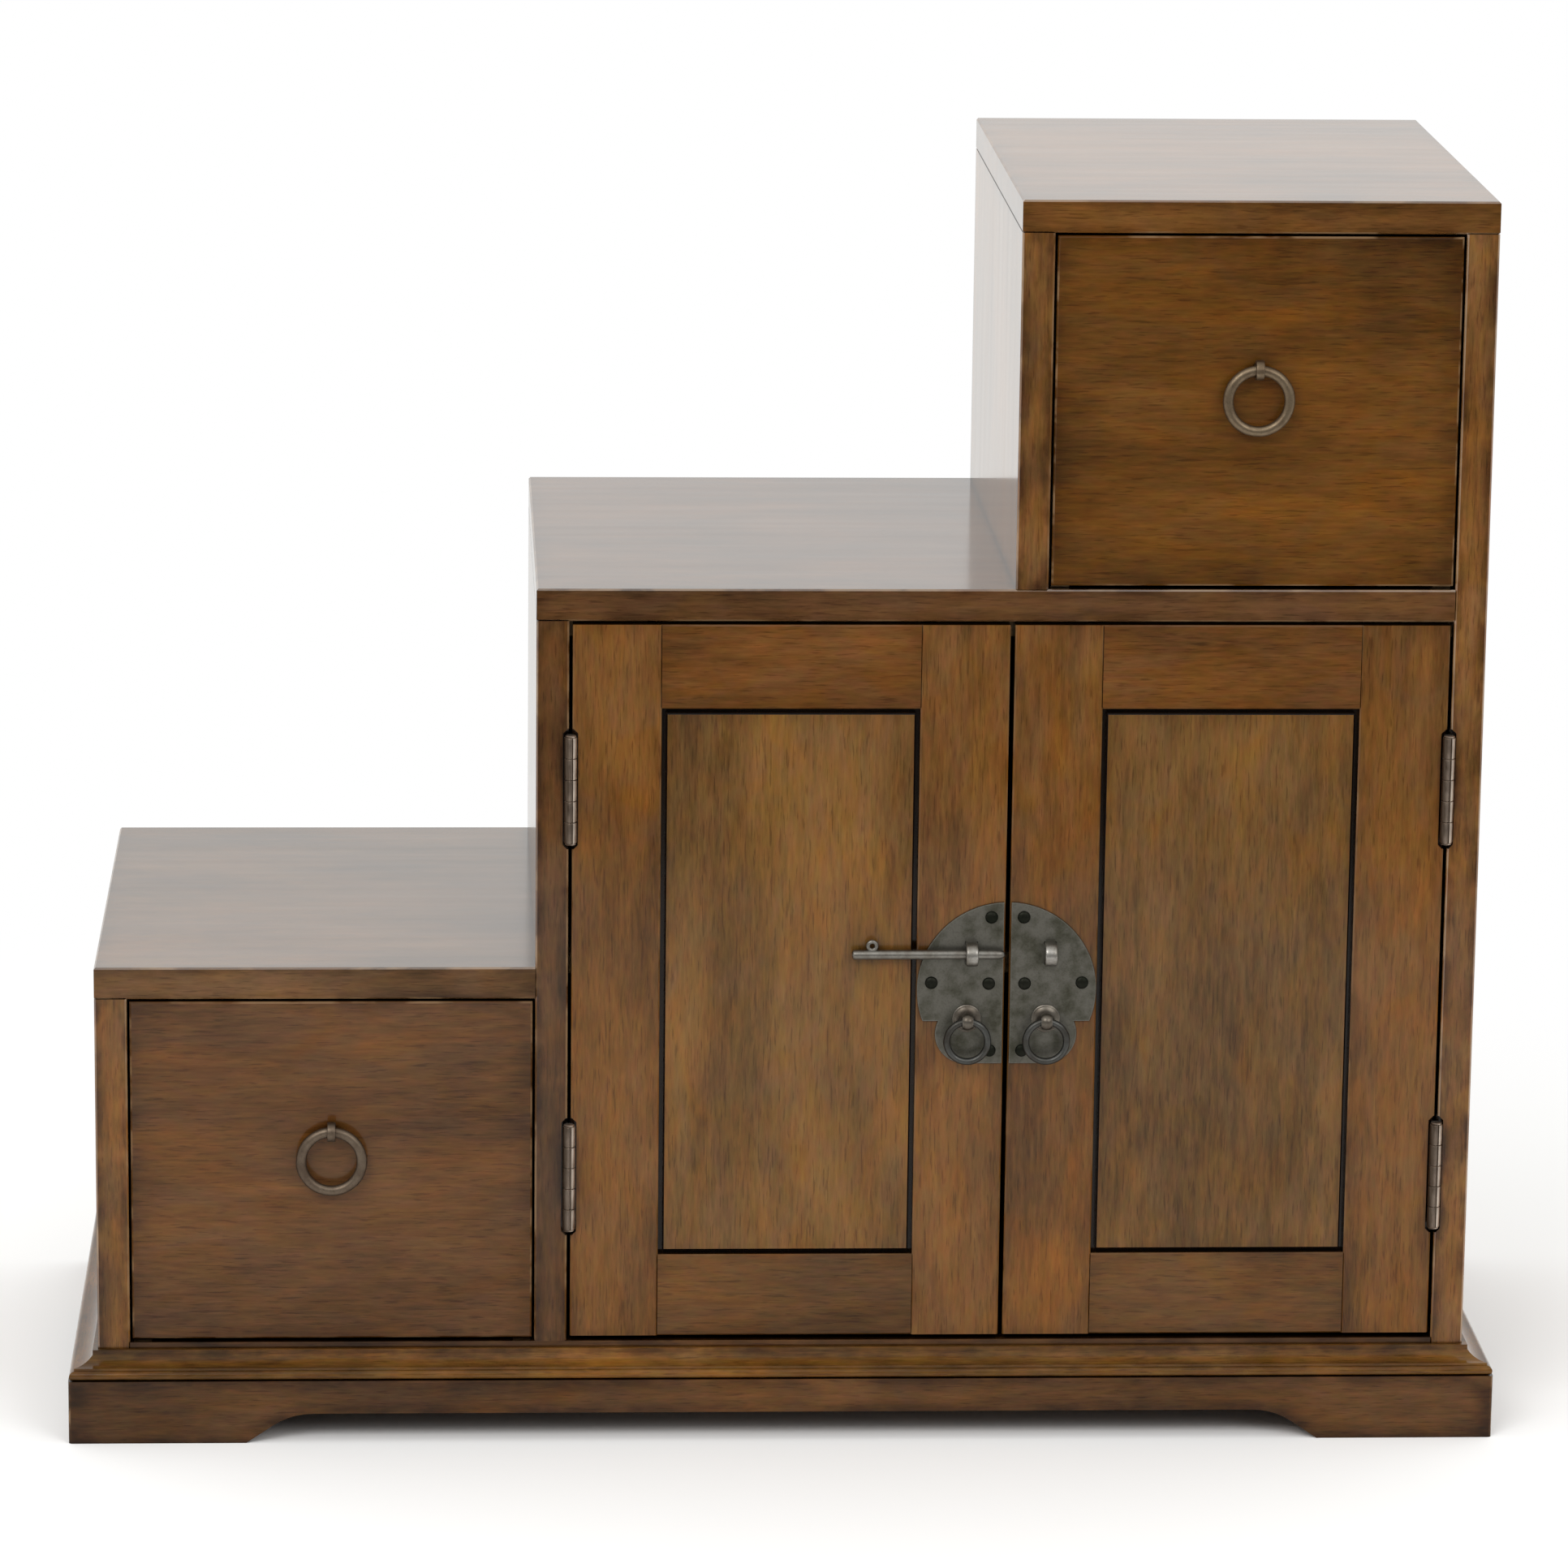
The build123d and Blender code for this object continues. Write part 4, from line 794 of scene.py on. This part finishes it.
case_low, case_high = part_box("case_hinge_leaves")
hinge_y = case_low.y + BARREL * MM
hinge_levels = (case_low.z, case_high.z - HINGE_LENGTH * MM)
hinge_axes = {"left_door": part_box("left_door_hinge_leaves")[0].x + BARREL * MM,
              "right_door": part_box("right_door_hinge_leaves")[1].x - BARREL * MM}
plate_low, plate_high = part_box("left_door_lock_plate")
plate_front = plate_low.y
lock_level = plate_high.z - PIN_LEVEL * MM
lock_middle = (plate_high.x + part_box("right_door_lock_plate")[0].x) / 2

for drawer, ring, seed, metal_key in (("low_drawer", "low_ring", 3, "low_ring"),
                                      ("high_drawer", "high_ring", 8, "ring")):
    forged_ring(f"{drawer}_forged_ring", f"{drawer}_ring", ring, seed, metals[metal_key],
                DRAWER_STOUT, DRAWER_FLAT)
    ring_staple(f"{drawer}_staple", f"{drawer}_ring_staple", drawer, f"{drawer}_ring",
                metals[metal_key])

outward = (("left_door", -1), ("right_door", 1))
hinges("case_butts", "case_hinge_leaves", "case",
       [(hinge_axes[door], away) for door, away in outward], (0, 2, 4))
rng = random.Random(21)
bm = bmesh.new()
for door, away in outward:
    for centre in screw_centres(hinge_axes[door], away):
        slotted_head(bm, centre, away, rng.uniform(0, math.pi))
add_piece("case_leaf_screws", bm, "case", metals["screw"], "screw_steel", "case_hinge_screws")

for door, outer in outward:
    away = -outer
    hinges(f"{door}_butts", f"{door}_hinge_leaves", door, [(hinge_axes[door], away)], (1, 3))
    bm = bmesh.new()
    for centre in screw_centres(hinge_axes[door], away):
        slotted_head(bm, centre, away, rng.uniform(0, math.pi))
    first_nail = len(bm.faces)
    for x, z in NAILS:
        lathe(bm, (lock_middle - away * x * MM, plate_front, lock_level + z * MM), (0, -1, 0),
              NAIL, 24)
    fasteners = add_piece(f"{door}_fasteners", bm, door, metals["screw"], "screw_steel",
                          f"{door}_screws_and_nails")
    fasteners.data.materials.append(metals["nail"])
    for polygon in fasteners.data.polygons[first_nail:]:
        polygon.material_index = 1
    lock_eye(f"{door}_pin_eye", f"{door}_lock_eye", door)
    pull_post(f"{door}_boss", f"{door}_pull_post", door)
    forged_ring(f"{door}_forged_ring", f"{door}_pull_ring", f"{door.split('_')[0]}_ring",
                11 if outer < 0 else 12, metals["pull"])
    plate = nodes[f"{door}_lock_plate"]
    weld = plate.modifiers.new("weld", "WELD")
    weld.merge_threshold = PLATE_WELD
    ease = plate.modifiers.new("ease", "BEVEL")
    ease.width, ease.segments, ease.limit_method = PLATE_EASE, 3, "ANGLE"

pin_low, pin_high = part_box("lock_pin")
pin_place = Vector((pin_low.x, (pin_low.y + pin_high.y) / 2, pin_low.z + PIN_RADIUS * MM))
bm = bmesh.new()
lathe(bm, pin_place, (1, 0, 0), PIN, 28)
curl = pin_place + Vector(CURL_PLACE) * MM
tube(bm, [curl + Vector((math.cos(a), 0, math.sin(a))) * PIN_CURL * MM
          for a in around(CURL_POINTS)], [PIN_WIRE * MM] * CURL_POINTS, 14)
add_piece("sliding_pin", bm, "lock_pin", metals["pin"], "dark_iron", "lock_pin")


# ---- Light, floor and camera ------------------------------------------------------
AIM = (0, 0, 0.3)
FLOOR_RADIUS, FLOOR_PALE = 1.5, 0.95
RIM_START, RIM_END = 0.5, 1.1      # where the floor fades to white for the camera
STUDIO_LEVEL, FRONT_DIM = 1.05, 0.8
LENS = 159.3
CAMERA_PLACE = (-0.1952, -3.8832, 1.2412)
YAW, PITCH, ROLL = (math.radians(a) for a in (2.951, 13.078, 0.667))


def light(name, place, width, height, power):
    """A soft rectangular lamp aimed at the chest."""
    data = bpy.data.lights.new(name, "AREA")
    data.shape = "RECTANGLE"
    data.size, data.size_y = width, height
    data.energy = power
    lamp = bpy.data.objects.new(name, data)
    lamp.location = place
    lamp.rotation_euler = (Vector(AIM) - Vector(place)).to_track_quat("-Z", "Y").to_euler()
    scene.collection.objects.link(lamp)


light("key", (-1.7, -3.4, 3.0), 2.2, 1.6, 72)
light("fill", (2.2, -3.4, 2.4), 2.0, 1.6, 44)

# The world is white to the camera. Other rays see it darker low down in front of the chest,
# as in a studio whose pale walls stand behind and beside the object.
world = bpy.data.worlds.new("studio")
world.use_nodes = True
scene.world = world
sh = Shader(world.node_tree)
towards = sh.add("ShaderNodeTexCoord").outputs["Generated"]
direction = sh.add("ShaderNodeSeparateXYZ", {0: towards})
front = sh.add("ShaderNodeMapRange", {"Value": direction.outputs[1], "From Min": -0.15,
                                      "From Max": -0.75}).outputs[0]
level = sh.add("ShaderNodeMapRange", {"Value": direction.outputs[2], "From Min": 0.65,
                                      "From Max": 0.25}).outputs[0]
dim = sh.math("MULTIPLY", sh.math("MULTIPLY", front, level), FRONT_DIM)
to_camera = sh.add("ShaderNodeLightPath").outputs["Is Camera Ray"]
seen = sh.add("ShaderNodeMix", {"Factor": to_camera}, data_type="FLOAT")
sh.feed(seen.inputs[2], sh.math("SUBTRACT", STUDIO_LEVEL, dim))
sh.feed(seen.inputs[3], 1.0)
tint = sh.mix(to_camera, (1.0, 1.0, 0.985), (1, 1, 1))
backdrop = sh.add("ShaderNodeBackground", {"Color": tint, "Strength": seen.outputs[0]})
sh.add("ShaderNodeOutputWorld", {"Surface": backdrop})

floor_mesh = bpy.data.meshes.new("floor")
bm = bmesh.new()
bmesh.ops.create_circle(bm, cap_ends=True, segments=96, radius=FLOOR_RADIUS)
bm.to_mesh(floor_mesh)
bm.free()
floor = bpy.data.objects.new("floor", floor_mesh)
scene.collection.objects.link(floor)
floor_material, sh = new_material("floor")
pale = sh.add("ShaderNodeBsdfDiffuse", {"Color": (FLOOR_PALE, FLOOR_PALE, FLOOR_PALE, 1)})
white = sh.add("ShaderNodeEmission", {"Color": (1, 1, 1, 1), "Strength": 1.0})
reach = sh.vector_math("LENGTH", sh.add("ShaderNodeTexCoord").outputs["Object"])
rim = sh.add("ShaderNodeMapRange", {"Value": reach.outputs["Value"], "From Min": RIM_START,
                                    "From Max": RIM_END},
             interpolation_type="SMOOTHSTEP").outputs[0]
rim = sh.math("MULTIPLY", rim, sh.add("ShaderNodeLightPath").outputs["Is Camera Ray"])
blend = sh.add("ShaderNodeMixShader", {0: rim, 1: pale, 2: white})
sh.add("ShaderNodeOutputMaterial", {"Surface": blend})
floor_mesh.materials.append(floor_material)

camera_data = bpy.data.cameras.new("camera")
camera_data.lens = LENS
camera = bpy.data.objects.new("camera", camera_data)
camera.matrix_world = (Matrix.Translation(CAMERA_PLACE)
                       @ Matrix.Rotation(-YAW, 4, "Z")
                       @ Matrix.Rotation(math.pi / 2 - PITCH, 4, "X")
                       @ Matrix.Rotation(ROLL, 4, "Z"))
scene.collection.objects.link(camera)
scene.camera = camera

scene.view_settings.view_transform = "Standard"
